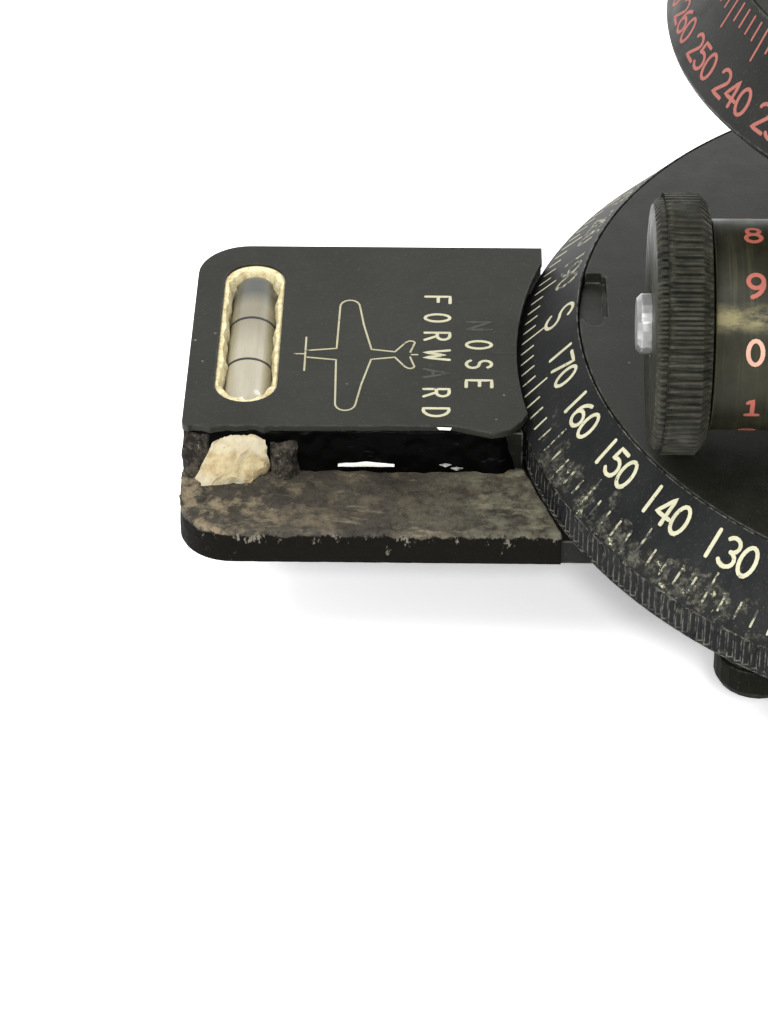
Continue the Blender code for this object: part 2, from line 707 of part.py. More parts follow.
def build_hour_circle():
    """The conical hour circle, its top plate, the polar spindle and its nut and cap."""
    ledge = HOUR_PLATE_TOP - 2.6
    turned(
        "hour_circle",
        [(HOUR_TOP_RADIUS - 0.3, HOUR_TOP), (HOUR_TOP_RADIUS, HOUR_TOP), (HOUR_RIM_RADIUS, HOUR_RIM_LEVEL)]
        + [(HOUR_RIM_RADIUS - 0.2, HOUR_RIM_LEVEL - 0.35), (HOUR_RIM_RADIUS - 1.3, HOUR_BOTTOM)]
        + [(42.8, HOUR_BOTTOM), (42.4, HOUR_RIM_LEVEL)]
        + [(39.0, ledge - 1.6), (35.0, ledge - 1.6), (35.0, ledge), (HOUR_TOP_RADIUS - 0.3, ledge)],
        RING_PAINT,
        steps=60,
    )
    turned(
        "hour_plate",
        [(SPINDLE_RADIUS + GAP, HOUR_PLATE_TOP), (HOUR_PLATE_RADIUS, HOUR_PLATE_TOP)]
        + [(HOUR_PLATE_RADIUS, ledge + GAP), (SPINDLE_RADIUS + GAP, ledge + GAP)],
        BLACK_PAINT,
        steps=48,
    )
    turned(
        "polar_spindle",
        [(0, 81.0), (SPINDLE_RADIUS, 81.0), (SPINDLE_RADIUS, ledge - GAP), (9.0, ledge - GAP)]
        + [(9.0, ledge - 3.0), (6.0, ledge - 5.0), (6.0, ARM_TOP + GAP), (SPINDLE_RADIUS, ARM_TOP + GAP)]
        + [(SPINDLE_RADIUS, 55.0), (0, 55.0)],
        STEEL,
        steps=20,
    )
    place(hex_nut("spindle_nut", 12.0, SPINDLE_RADIUS + GAP, 2.7), z=57.8)
    cap = rod_profile(8.0, HOUR_PLATE_TOP + GAP, 81.4, SPINDLE_RADIUS + GAP, 0.6)
    turned("spindle_cap", cap, OLIVE_METAL, 24)


def build_declination_posts():
    """Two posts on the hour plate that carry the declination shaft."""
    low = HOUR_PLATE_TOP + GAP
    bore = list(reversed(arc(0, DEC_LEVEL, HINGE_PIN_RADIUS + GAP, 0, 330, 11)))
    outline = arc(0, DEC_LEVEL, 6.5, 0, 180, 12) + [(-8.0, 90.0), (-15.0, low + 3.0), (-15.0, low)]
    outline += [(15.0, low), (15.0, low + 3.0), (8.0, 90.0)]
    for side, sign in (("front", -1), ("rear", 1)):
        post = flat("declination_post_" + side, [outline, bore], DEC_POST_THICK, BLACK_PAINT)
        place(post, y=sign * (DEC_POST_INNER + DEC_POST_THICK / 2), spin=UPRIGHT_XZ)


# --- Declination body --------------------------------------------------------------------------------


def frame_outline(half_width, low, high, wall):
    """A rectangular frame seen along X, with its window."""
    outer = [(-half_width, low), (half_width, low), (half_width, high - 3.0), (half_width - 3.0, high)]
    outer += [(-half_width + 3.0, high), (-half_width, high - 3.0)]
    inner = [(-half_width + wall, low + wall + 1.0), (-half_width + wall, high - wall - 1.0)]
    inner += [(half_width - wall, high - wall - 1.0), (half_width - wall, low + wall + 1.0)]
    return outer, inner


def build_declination():
    """The declination drum with its shaft, sight bar, shadow sight and screen."""
    bore = HINGE_PIN_RADIUS + GAP
    half = DEC_DRUM_HALF
    rim = DEC_DRUM_RADIUS
    drum = [(bore, half), (rim - 1.0, half), (rim, half - 1.0)]
    drum += [(rim, 1.0 - half), (rim - 1.0, -half), (bore, -half)]
    place(turned("declination_drum", drum, RING_PAINT, 32), 0, 0, DEC_LEVEL, ALONG_Y)
    shaft = turned("declination_shaft", rod_profile(HINGE_PIN_RADIUS, -17.4, 24.0, chamfer=0.4), STEEL, 20)
    place(shaft, 0, 0, DEC_LEVEL, Matrix.Rotation(math.radians(90.0), 4, "X"))

    bar_low = DEC_LEVEL + DEC_DRUM_RADIUS + GAP
    bar_high = bar_low + 2.6
    bar = block("sight_bar", (-SIGHT_REACH, -4.5, bar_low), (SIGHT_REACH, 4.5, bar_high), BLACK_PAINT)
    bevel(bar, 0.5, 1)
    for name, x, y in (("sight_bar_screw_front", 7.0, 0.0), ("sight_bar_screw_rear", -7.0, 0.0)):
        head = [(0, 1.3), (1.6, 1.3), (2.4, 0.6), (2.4, 0.0), (0, 0.0)]
        place(turned(name, head, STEEL, 20), x, y, bar_high + GAP)

    low = bar_high + GAP
    outer, inner = frame_outline(8.0, low, SIGHT_TOP, 1.6)
    shadow = flat("shadow_sight", [outer, inner], 2.0, BLACK_PAINT)
    place(shadow, SIGHT_REACH - 1.6, spin=UPRIGHT_YZ)
    wire_low = (SIGHT_REACH - 2.0, -0.6, low + 1.0)
    wire = block("shadow_bar", wire_low, (SIGHT_REACH - 1.2, 0.6, SIGHT_TOP - 1.0))
    join(shadow, wire)

    holder = flat("screen_frame", [outer, inner], 2.0, BLACK_PAINT)
    place(holder, -SIGHT_REACH + 1.6, spin=UPRIGHT_YZ)
    pane_half = 8.0 - 1.6 - GAP
    pane_x = -SIGHT_REACH + 1.6
    pane = block(
        "sight_screen",
        (pane_x - 0.5, -pane_half, low + 2.6 + GAP),
        (pane_x + 0.5, pane_half, SIGHT_TOP - 2.6 - GAP),
        SCREEN,
    )
    bevel(pane, 0.15, 1)


def build_declination_clamp():
    """The knob on the shaft's end that holds the declination."""
    start = DEC_POST_INNER + DEC_POST_THICK + 0.6
    knob = [(3.2, 7.0), (7.4, 7.0), (8.2, 6.2), (8.2, 1.6), (7.4, 0.8), (5.0, 0.0), (3.2, 0.0)]
    made = turned("declination_clamp_knob", knob, OLIVE_METAL, 24)
    place(made, 0, -start, DEC_LEVEL, Matrix.Rotation(math.radians(90.0), 4, "X"))


def stand_on_polar_axis():
    """Parent the pieces of the hour circle and above, with their cutters, to the polar axis."""
    axis = bpy.data.objects.new("polar_axis", None)
    bpy.context.scene.collection.objects.link(axis)
    axis.location.x = POLAR_X * MM
    carried = ("hour_", "index_tab", "polar_spindle", "polar_hub", "spindle_", "clamp_cut")
    carried += ("declination_", "sight_", "shadow_", "screen_frame")
    for made in [*PARTS.objects, *CUTTERS.objects]:
        if made.name.startswith(carried):
            made.parent = axis


build_foot()
build_levelling_screws()
build_base()
build_azimuth_clamp()
build_bearing()
build_hinge_posts()
build_shaft_brackets()
build_latitude_drive()
build_hinge()
build_polar_arm()
build_hour_clamp()
build_hour_circle()
build_declination_posts()
build_declination()
build_declination_clamp()
stand_on_polar_axis()

for part in PARTS.objects:
    smooth(part.data)
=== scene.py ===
"""Looks for the astro compass: worn black paint, filled figures, knurling, level vials and studio light.

Lengths in this script are millimetres in the CAD's frame, and mesh helpers turn them into metres.
"""

import json
import math
import random

import bmesh
import bpy
from mathutils import Matrix, Vector, noise


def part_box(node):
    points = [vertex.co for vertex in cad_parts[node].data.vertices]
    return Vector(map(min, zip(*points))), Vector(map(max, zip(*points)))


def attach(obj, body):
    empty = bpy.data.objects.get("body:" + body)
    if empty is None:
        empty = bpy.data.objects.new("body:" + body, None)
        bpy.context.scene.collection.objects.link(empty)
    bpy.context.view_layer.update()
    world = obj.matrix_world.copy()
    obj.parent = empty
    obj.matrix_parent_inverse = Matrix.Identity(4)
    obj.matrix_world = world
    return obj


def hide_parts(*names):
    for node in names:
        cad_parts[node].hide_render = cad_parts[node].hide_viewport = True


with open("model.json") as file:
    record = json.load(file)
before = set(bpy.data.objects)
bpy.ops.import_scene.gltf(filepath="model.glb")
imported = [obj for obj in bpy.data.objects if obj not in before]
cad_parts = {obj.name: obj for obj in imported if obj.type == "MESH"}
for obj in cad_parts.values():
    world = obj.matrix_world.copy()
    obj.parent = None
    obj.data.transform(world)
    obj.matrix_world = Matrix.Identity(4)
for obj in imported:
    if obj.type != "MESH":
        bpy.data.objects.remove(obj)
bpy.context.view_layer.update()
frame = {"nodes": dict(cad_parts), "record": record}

MM = 0.001


def corners(node):
    """The lowest and highest corners of a CAD node, in millimetres."""
    low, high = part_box(node)
    return [v / MM for v in low], [v / MM for v in high]


# --- Sizes taken from the frame ----------------------------------------------------------------------

RING_LOW, RING_HIGH = corners("bearing_ring")
DECK_LOW, DECK_HIGH = corners("deck_plate")
RING_RADIUS = RING_HIGH[0]
RING_BOTTOM = RING_LOW[2]
DECK_TOP = DECK_HIGH[2]
DECK_RADIUS = DECK_HIGH[0]
BEVEL_TOP_RADIUS = DECK_RADIUS + 0.3
BEVEL_RISE = 7.0
BEVEL_RUN = 6.9
KNOB_LOW, KNOB_HIGH = corners("latitude_knob")
DRUM_LOW, DRUM_HIGH = corners("latitude_drum")
DRIVE_Y = (KNOB_LOW[1] + KNOB_HIGH[1]) / 2
DRIVE_Z = (KNOB_LOW[2] + KNOB_HIGH[2]) / 2
KNOB_RADIUS = (KNOB_HIGH[2] - KNOB_LOW[2]) / 2
DRUM_RADIUS = (DRUM_HIGH[2] - DRUM_LOW[2]) / 2
HOUR_LOW, HOUR_HIGH = corners("hour_circle")
HOUR_RADIUS = (HOUR_HIGH[0] - HOUR_LOW[0]) / 2
POLAR_X = (HOUR_HIGH[0] + HOUR_LOW[0]) / 2
PLATE_LOW, PLATE_HIGH = corners("heading_plate")
PLATE_TOP = PLATE_HIGH[2]
VIAL_LOW, VIAL_HIGH = corners("heading_vial")
DEC_LOW, DEC_HIGH = corners("declination_drum")
HINGE_LOW, HINGE_HIGH = corners("hinge_pin")
SCALE_LOW, SCALE_HIGH = corners("latitude_scale")

SETTING_LOW, SETTING_HIGH = corners("heading_setting")
WINDOW = (-94.8, -87.7, SETTING_LOW[1] - 0.3, SETTING_HIGH[1] + 0.3)

BEARING_AT_LUG = 176.1
HOUR_AT_LUG = 265.3
WORN_SIDE = math.radians(214.0)

PLATE_CORNER = -57.4
LUG_LEFT_EDGE = -98.05
LEDGE_LEVEL = 19.5
FLANGE_BOTTOM = 15.6
FRONT_FACE = -26.3
WALL_TOP_Y = -14.2
WALL_FOOT_Y = -15.3
RING_CLEAR = 61.7


# --- Node-built materials ----------------------------------------------------------------------------


class Look:
    """A material whose nodes read the object's own coordinates, so every piece shares one grain.

    Its colour is built in layers: first ground(), then tint() for each layer over it.
    """

    def __init__(self, name):
        self.material = bpy.data.materials.new(name)
        self.material.use_nodes = True
        self.tree = self.material.node_tree
        self.shader = self.tree.nodes["Principled BSDF"]
        self.place = self.add("ShaderNodeTexCoord").outputs["Object"]
        self.soft_normal = None
        self.colour = None

    def add(self, kind, **settings):
        node = self.tree.nodes.new(kind)
        for key, value in settings.items():
            setattr(node, key, value)
        return node

    def feed(self, socket, value):
        """Link a socket, or set a number or a colour."""
        if hasattr(value, "is_linked"):
            self.tree.links.new(value, socket)
        elif isinstance(value, tuple) and socket.type == "RGBA":
            socket.default_value = (*value, 1.0)
        else:
            socket.default_value = value

    def noise(self, size, detail=4.0, rough=0.55, stretch=None):
        """Noise with features of about a size in millimetres, stretched along an axis if asked."""
        node = self.add("ShaderNodeTexNoise")
        place = self.place
        if stretch:
            scaled = self.add("ShaderNodeVectorMath", operation="MULTIPLY")
            self.feed(scaled.inputs[0], place)
            scaled.inputs[1].default_value = stretch
            place = scaled.outputs[0]
        self.feed(node.inputs["Vector"], place)
        node.inputs["Scale"].default_value = 1.0 / (size * MM)
        node.inputs["Detail"].default_value = detail
        node.inputs["Roughness"].default_value = rough
        return node.outputs["Fac"]

    def cells(self, size):
        """Distance from the middle of each cell in a pattern of about a size in millimetres."""
        node = self.add("ShaderNodeTexVoronoi")
        self.feed(node.inputs["Vector"], self.place)
        node.inputs["Scale"].default_value = 1.0 / (size * MM)
        return node.outputs["Distance"]

    def band(self, value, low, high, start=0.0, end=1.0):
        """Map a value from one range to another, clamped."""
        node = self.add("ShaderNodeMapRange")
        for key, number in zip(("From Min", "From Max", "To Min", "To Max"), (low, high, start, end)):
            node.inputs[key].default_value = number
        self.feed(node.inputs["Value"], value)
        return node.outputs["Result"]

    def blots(self, size, low, high, detail=4.0, rough=0.55, stretch=None):
        """A mask of irregular patches: noise cut to 0 at the low value and 1 at the high one."""
        return self.band(self.noise(size, detail, rough, stretch), low, high)

    def uneven(self, size, detail, least, most):
        """A number that wanders between two values over the surface."""
        return self.band(self.noise(size, detail), 0.3, 0.7, least, most)

    def math(self, operation, a, b=0.0):
        node = self.add("ShaderNodeMath", operation=operation)
        self.feed(node.inputs[0], a)
        self.feed(node.inputs[1], b)
        return node.outputs[0]

    def times(self, a, b):
        return self.math("MULTIPLY", a, b)

    def plus(self, a, b):
        return self.math("ADD", a, b)

    def axis(self, letter):
        """One coordinate, in millimetres."""
        split = self.add("ShaderNodeSeparateXYZ")
        self.feed(split.inputs[0], self.place)
        return self.times(split.outputs[letter], 1.0 / MM)

    def mix(self, share, a, b):
        """Mix two colours."""
        node = self.add("ShaderNodeMix", data_type="RGBA")
        self.feed(node.inputs["Factor"], share)
        self.feed(node.inputs[6], a)
        self.feed(node.inputs[7], b)
        return node.outputs[2]

    def ground(self, mask, dark, light):
        """Start the colour as a blend of two, light where the mask is 1."""
        self.colour = self.mix(mask, dark, light)

    def tint(self, mask, colour, strength=1.0):
        """Lay a colour over what is there, where the mask is 1."""
        self.colour = self.mix(self.times(mask, strength), self.colour, colour)

    def edges(self, radius):
        """A mask of the edges, wider with the radius in millimetres. A later bump() also rounds them."""
        soft = self.add("ShaderNodeBevel", samples=4)
        soft.inputs["Radius"].default_value = radius * MM
        self.soft_normal = soft.outputs[0]
        plain = self.add("ShaderNodeNewGeometry")
        dot = self.add("ShaderNodeVectorMath", operation="DOT_PRODUCT")
        self.feed(dot.inputs[0], soft.outputs[0])
        self.feed(dot.inputs[1], plain.outputs["Normal"])
        return self.band(dot.outputs["Value"], 0.985, 0.90)

    def rub_edges(self, radius, size, low, colour, strength):
        """Wear the edges through to a colour, in patches of about a size in millimetres."""
        patches = self.blots(size, low, 0.60, 5.0, 0.65)
        self.tint(self.times(self.edges(radius), patches), colour, strength)

    def bump(self, height, depth, strength=1.0):
        """Bump from a height of 0 to 1, as deep as a depth in millimetres."""
        node = self.add("ShaderNodeBump")
        node.inputs["Strength"].default_value = strength
        node.inputs["Distance"].default_value = depth * MM
        self.feed(node.inputs["Height"], height)
        if self.soft_normal:
            self.feed(node.inputs["Normal"], self.soft_normal)
        self.feed(self.shader.inputs["Normal"], node.outputs[0])

    def done(self, roughness, metallic=0.0, specular=0.5):
        self.feed(self.shader.inputs["Base Color"], self.colour)
        self.feed(self.shader.inputs["Roughness"], roughness)
        self.feed(self.shader.inputs["Metallic"], metallic)
        self.feed(self.shader.inputs["Specular IOR Level"], specular)
        return self.material


def black_paint(name, dark, light, rough, wear, shine):
    """Matt black paint with a fine grain, a few dust specks and edges worn to grey metal."""
    look = Look(name)
    cloud = look.blots(14.0, 0.35, 0.68, 5.0)
    grain = look.noise(0.28, 2.0, 0.6)
    look.ground(cloud, dark, light)
    look.tint(look.band(grain, 0.60, 0.78), (0.085, 0.083, 0.074), 0.30)
    specks = look.times(look.band(look.cells(2.2), 0.10, 0.04), look.blots(5.0, 0.56, 0.64))
    look.tint(specks, (0.30, 0.29, 0.25), 0.5)
    look.rub_edges(0.35, 1.6, 0.44, (0.20, 0.195, 0.17), wear)
    look.bump(look.plus(grain, look.times(cloud, 0.6)), 0.035, 0.55)
    return look.done(look.uneven(3.0, 4.0, rough - 0.07, rough + 0.10), 0.0, shine)


def ring_paint():
    """Black ring paint, chipped to grey metal and old ivory filling where hands wear the front left."""
    look = Look("ring_worn_black")
    grain = look.noise(0.30, 2.0, 0.6)
    look.ground(look.blots(9.0, 0.35, 0.7, 5.0), (0.006, 0.0065, 0.0065), (0.012, 0.0125, 0.0125))
    look.tint(look.band(grain, 0.60, 0.78), (0.09, 0.09, 0.08), 0.25)
    x, y = look.axis("X"), look.axis("Y")
    radius = look.math("SQRT", look.plus(look.times(x, x), look.times(y, y)))
    along = look.plus(look.times(x, math.cos(WORN_SIDE)), look.times(y, math.sin(WORN_SIDE)))
    outer, inner = math.cos(math.radians(27.0)), math.cos(math.radians(13.0))
    facing = look.band(look.math("DIVIDE", along, radius), outer, inner)
    low = look.band(radius, 56.6, 59.4)
    bevel_only = look.band(look.axis("Z"), RING_BOTTOM + 3.9, RING_BOTTOM + 4.5, 0.25, 1.0)
    area = look.times(look.times(facing, low), bevel_only)
    patch = look.band(look.plus(look.noise(2.6, 6.0, 0.7), look.times(area, 0.22)), 0.64, 0.73)
    patch = look.times(patch, look.band(area, 0.03, 0.25))
    grey = look.mix(look.blots(0.9, 0.45, 0.64, 5.0, 0.75), (0.014, 0.014, 0.012), (0.105, 0.102, 0.080))
    look.tint(patch, grey, 0.85)
    chip = look.times(look.blots(1.1, 0.60, 0.64, 6.0, 0.8), look.times(patch, area))
    look.tint(chip, (0.42, 0.41, 0.27))
    look.rub_edges(0.25, 1.1, 0.42, (0.27, 0.26, 0.22), 0.75)
    pitted = look.times(patch, look.noise(0.8, 6.0, 0.8))
    look.bump(look.plus(look.times(grain, 0.5), pitted), 0.10, 0.8)
    return look.done(look.band(patch, 0.0, 1.0, 0.52, 0.64), 0.0, 0.10)


def filled(name, colour, chipped=(0.05, 0.045, 0.04), loss=0.62):
    """Paint filling in engraved marks, stained, and lost in places."""
    look = Look(name)
    look.colour = colour
    look.tint(look.blots(3.0, 0.40, 0.72, 5.0, 0.65), tuple(0.55 * c for c in colour), 0.45)
    look.tint(look.blots(0.9, loss, loss + 0.05, 5.0, 0.75), chipped)
    look.bump(look.noise(0.35, 3.0), 0.03, 0.6)
    return look.done(0.62)


def metal(name, dark, light, edge, rough, metallic=0.95, scratch=(1.0, 1.0, 1.0), wear=0.5, shine=0.5):
    """Bare or thinly finished metal with tool marks, stains and brighter edges."""
    look = Look(name)
    marks = look.noise(1.2, 4.0, 0.6, scratch)
    look.ground(look.blots(6.0, 0.34, 0.70, 6.0, 0.6), dark, light)
    look.tint(look.band(marks, 0.5, 0.8), edge, 0.35)
    look.rub_edges(0.3, 1.4, 0.40, edge, wear)
    look.bump(marks, 0.03, 0.5)
    return look.done(look.uneven(2.0, 5.0, rough - 0.08, rough + 0.12), metallic, shine)


def worn_ledge():
    """Casting rubbed through its paint to a rough brown-grey, with soot, grit and a chipped black side."""
    look = Look("worn_ledge")
    broad = look.blots(9.0, 0.36, 0.66, 5.0, 0.6)
    fine = look.noise(0.7, 6.0, 0.75)
    look.ground(broad, (0.026, 0.022, 0.017), (0.058, 0.051, 0.037))
    look.tint(look.band(fine, 0.46, 0.66), (0.010, 0.009, 0.008), 0.7)
    dusty = look.band(look.axis("X"), -80.0, LUG_LEFT_EDGE + 4.0)
    tan = look.times(look.blots(3.2, 0.50, 0.62, 6.0, 0.7), look.plus(dusty, 0.35))
    look.tint(tan, (0.17, 0.135, 0.085), 0.7)
    look.tint(look.blots(0.55, 0.67, 0.73, 4.0, 0.8), (0.34, 0.32, 0.25), 0.6)
    ring_end = look.band(look.axis("X"), -72.0, -64.0)
    look.tint(look.times(ring_end, look.blots(2.2, 0.42, 0.60, 5.0, 0.7)), (0.125, 0.122, 0.082), 0.6)
    z = look.axis("Z")
    ragged = look.plus(z, look.times(look.noise(1.4, 5.0, 0.75), 2.2))
    side = look.band(ragged, LEDGE_LEVEL + 0.95, LEDGE_LEVEL + 0.7)
    near_top = look.band(z, 16.5, LEDGE_LEVEL, -0.06, 0.07)
    chips = look.band(look.plus(look.noise(1.3, 6.0, 0.75, (1.0, 1.0, 0.45)), near_top), 0.60, 0.64)
    chipped_black = look.mix(look.times(chips, 0.8), (0.0045, 0.0042, 0.0032), (0.17, 0.155, 0.12))
    look.tint(side, chipped_black)
    streaks = look.blots(1.6, 0.56, 0.66, 6.0, 0.75, (0.3, 1.0, 1.0))
    look.tint(look.times(streaks, look.math("SUBTRACT", 1.0, side)), (0.20, 0.175, 0.115), 0.45)
    look.bump(look.plus(fine, look.times(look.noise(0.25, 3.0), 0.4)), 0.16, 0.9)
    sheen = look.band(look.math("MAXIMUM", side, look.times(broad, 0.3)), 0.0, 1.0, 0.20, 0.03)
    return look.done(look.band(fine, 0.3, 0.7, 0.50, 0.75), 0.0, sheen)


def gloss_wall():
    """The glossy black broken wall under the label plate."""
    look = Look("gloss_black_wall")
    scuff = look.blots(1.6, 0.60, 0.70, 6.0, 0.7, (0.5, 1.0, 1.4))
    look.colour = (0.0012, 0.0012, 0.0011)
    look.tint(scuff, (0.08, 0.08, 0.08), 0.12)
    look.bump(look.noise(2.2, 5.0, 0.65), 0.15, 0.6)
    return look.done(look.band(scuff, 0.0, 1.0, 0.28, 0.5), 0.0, 0.015)


def crust():
    """Charred filler left on the broken wall: black, with brown and pale grit."""
    look = Look("broken_crust")
    fine = look.noise(0.8, 6.0, 0.78)
    look.ground(look.band(fine, 0.45, 0.62), (0.006, 0.005, 0.004), (0.055, 0.046, 0.032))
    look.tint(look.blots(0.45, 0.62, 0.68, 4.0, 0.8), (0.22, 0.19, 0.13), 0.7)
    look.bump(fine, 0.3, 1.0)
    return look.done(0.7, 0.0, 0.2)


def plaster():
    """Broken setting plaster: cream, with brown stains and open pores."""
    look = Look("setting_plaster")
    look.ground(look.blots(1.8, 0.46, 0.66, 6.0, 0.7), (0.40, 0.335, 0.195), (0.25, 0.17, 0.08))
    look.tint(look.blots(3.5, 0.50, 0.62), (0.45, 0.42, 0.32), 0.6)
    look.tint(look.blots(0.5, 0.66, 0.72, 4.0, 0.75), (0.16, 0.11, 0.06), 0.8)
    look.bump(look.noise(0.6, 6.0, 0.7), 0.2, 0.9)
    return look.done(0.85, 0.0, 0.25)


def vial_seal():
    """Cracked yellowed sealing compound round a vial."""
    look = Look("vial_seal")
    look.ground(look.blots(1.0, 0.44, 0.60, 6.0, 0.75), (0.62, 0.56, 0.33), (0.42, 0.33, 0.16))
    look.tint(look.blots(0.7, 0.58, 0.64, 5.0, 0.8), (0.66, 0.63, 0.50), 0.8)
    look.bump(look.noise(0.5, 6.0, 0.7), 0.2, 0.9)
    return look.done(look.band(look.noise(0.8, 3.0), 0.4, 0.6, 0.35, 0.7))


def vial_glass(name, axis, bubble_from, bubble_to):
    """The filled glass tube: pale straw spirit, deeper towards the bubble and grey where it lies."""
    look = Look(name)
    along = look.axis(axis)
    streak = look.noise(1.0, 3.0, 0.5, (1.0, 0.12, 1.0) if axis == "Y" else (0.12, 1.0, 1.0))
    look.ground(look.band(streak, 0.35, 0.7), (0.28, 0.255, 0.188), (0.325, 0.30, 0.232))
    look.tint(look.band(along, bubble_from - 9.0, bubble_from - 3.0), (0.125, 0.113, 0.074), 0.7)
    look.tint(look.band(along, bubble_from, bubble_to), (0.048, 0.051, 0.047), 0.95)
    look.feed(look.shader.inputs["Coat Weight"], 0.5)
    look.feed(look.shader.inputs["Coat Roughness"], 0.08)
    look.bump(look.noise(2.0, 2.0), 0.02, 0.3)
    return look.done(look.band(streak, 0.3, 0.7, 0.22, 0.38), 0.0, 0.3)


def drum_metal():
    """Blackened brass, with a painted highlight: brass colour laid in a patchy stripe along the drum at 37
    degrees.
    """
    look = Look("drum_blackened_brass")
    rings = look.noise(0.5, 4.0, 0.6, (1.0, 0.03, 0.03))
    look.ground(look.blots(5.0, 0.36, 0.68, 6.0, 0.6), (0.008, 0.008, 0.0042), (0.019, 0.0185, 0.0095))
    look.tint(look.band(rings, 0.50, 0.75), (0.065, 0.060, 0.032), 0.4)
    y = look.math("SUBTRACT", look.axis("Y"), DRIVE_Y)
    z = look.math("SUBTRACT", look.axis("Z"), DRIVE_Z)
    # Painted highlight: a brass-coloured stripe where a lamp near the camera would glint along the drum.
    turn = look.math("ARCTAN2", z, look.times(y, -1.0))
    off_highlight = look.math("ABSOLUTE", look.math("SUBTRACT", turn, math.radians(37.0)))
    highlight_patches = look.blots(1.5, 0.40, 0.6, 5.0, 0.7, (0.4, 1.0, 1.0))
    look.tint(look.times(look.band(off_highlight, 0.16, 0.04), highlight_patches), (0.24, 0.21, 0.10), 0.55)
    look.tint(look.edges(0.3), (0.26, 0.24, 0.15), 0.5)
    look.bump(rings, 0.02, 0.5)
    return look.done(look.uneven(2.0, 5.0, 0.38, 0.50), 0.12, 0.18)


def frosted_screen():
    """Translucent frosted sight screen."""
    look = Look("frosted_screen")
    look.ground(look.blots(3.0, 0.4, 0.7, 5.0), (0.78, 0.77, 0.70), (0.62, 0.60, 0.50))
    look.feed(look.shader.inputs["Transmission Weight"], 0.35)
    look.bump(look.noise(0.25, 2.0), 0.02, 0.5)
    return look.done(look.uneven(1.0, 3.0, 0.38, 0.55))


BLACK = black_paint("worn_black_paint", (0.013, 0.013, 0.011), (0.022, 0.022, 0.019), 0.46, 0.5, 0.33)
LABEL_BLACK = black_paint(
    "label_plate_black", (0.0125, 0.0128, 0.0095), (0.0175, 0.0178, 0.0135), 0.50, 0.15, 0.24
)
DECK_BLACK = black_paint("deck_black", (0.0072, 0.0075, 0.005), (0.012, 0.0123, 0.009), 0.36, 0.35, 0.32)
# Base casting black, darkened further as painted shade for the dark gap between the heading lug and the
# ring.
CASTING_BLACK_PAINTED_SHADE = black_paint("casting_black_painted_shade", (0.005, 0.005, 0.0038), (0.010, 0.0098, 0.008), 0.5, 0.6, 0.10)
# Black for the mount foot and levelling knobs, darkened further as painted shade under the ring.
UNDERSIDE_BLACK_PAINTED_SHADE = black_paint(
    "underside_black_painted_shade", (0.003, 0.003, 0.0015), (0.006, 0.006, 0.0035), 0.55, 0.4, 0.04
)
HOUR_BLACK = black_paint("hour_circle_black", (0.008, 0.008, 0.007), (0.014, 0.014, 0.012), 0.42, 0.4, 0.17)
RING = ring_paint()
IVORY_FILL = filled("ivory_filling", (0.43, 0.415, 0.28))
WORN_IVORY = filled("worn_ivory_filling", (0.30, 0.29, 0.19), (0.02, 0.02, 0.018), 0.46)
GHOST_FILL = filled("lost_filling", (0.035, 0.034, 0.030), (0.012, 0.012, 0.011), 0.5)
OUTLINE_FILL = filled("outline_filling", (0.34, 0.315, 0.20), loss=0.60)
SALMON_FILL = filled("salmon_filling", (0.25, 0.072, 0.055), (0.10, 0.035, 0.03), 0.66)
DRUM_RED = filled("drum_red_filling", (0.30, 0.075, 0.050), (0.12, 0.05, 0.035), 0.70)
CREAM_FILL = filled("cream_filling", (0.46, 0.26, 0.185), (0.14, 0.08, 0.05), 0.66)
DARK_LINE = filled("dark_line", (0.012, 0.012, 0.012), (0.02, 0.02, 0.02))
# Grey for the painted glints on the wall.
PAINTED_GLINT_GREY = filled("painted_glint_grey", (0.30, 0.31, 0.29), (0.06, 0.06, 0.055), 0.56)
# White for the chip on the plate's edge, and for the painted highlight streak on the wall.
WHITE_CHIP_AND_PAINTED_HIGHLIGHT = filled("white_chip_and_painted_highlight", (0.80, 0.79, 0.70), (0.30, 0.29, 0.24), 0.72)
OLIVE = metal(
    "olive_worn_metal", (0.006, 0.006, 0.0038), (0.017, 0.017, 0.011), (0.075, 0.074, 0.052),
    0.44, 0.0, (0.3, 1.0, 1.0), 0.6, 0.17,
)
STEEL = metal("dull_steel", (0.24, 0.245, 0.24), (0.42, 0.425, 0.41), (0.6, 0.6, 0.58), 0.38, 0.9)
BRASS = metal("oiled_brass", (0.30, 0.22, 0.09), (0.52, 0.40, 0.18), (0.70, 0.58, 0.30), 0.36)
DRUM = drum_metal()
LEDGE = worn_ledge()
WALL = gloss_wall()
PLASTER = plaster()
CRUST = crust()
SEAL = vial_seal()
SCREEN = frosted_screen()


# --- Mesh helpers ------------------------------------------------------------------------------------


def piece(name, shape, paint, body, slot, replaced=()):
    """Turn a bmesh in millimetres into a piece that rides on a body."""
    bmesh.ops.recalc_face_normals(shape, faces=shape.faces)
    bmesh.ops.scale(shape, vec=(MM, MM, MM), verts=shape.verts)
    mesh = bpy.data.meshes.new(name)
    shape.to_mesh(mesh)
    shape.free()
    mesh.materials.append(paint)
    mesh.shade_smooth()
    mesh.set_sharp_from_angle(angle=math.radians(38.0))
    made = bpy.data.objects.new(name, mesh)
    bpy.context.scene.collection.objects.link(made)
    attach(made, body)
    if replaced:
        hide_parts(*replaced)
    return made


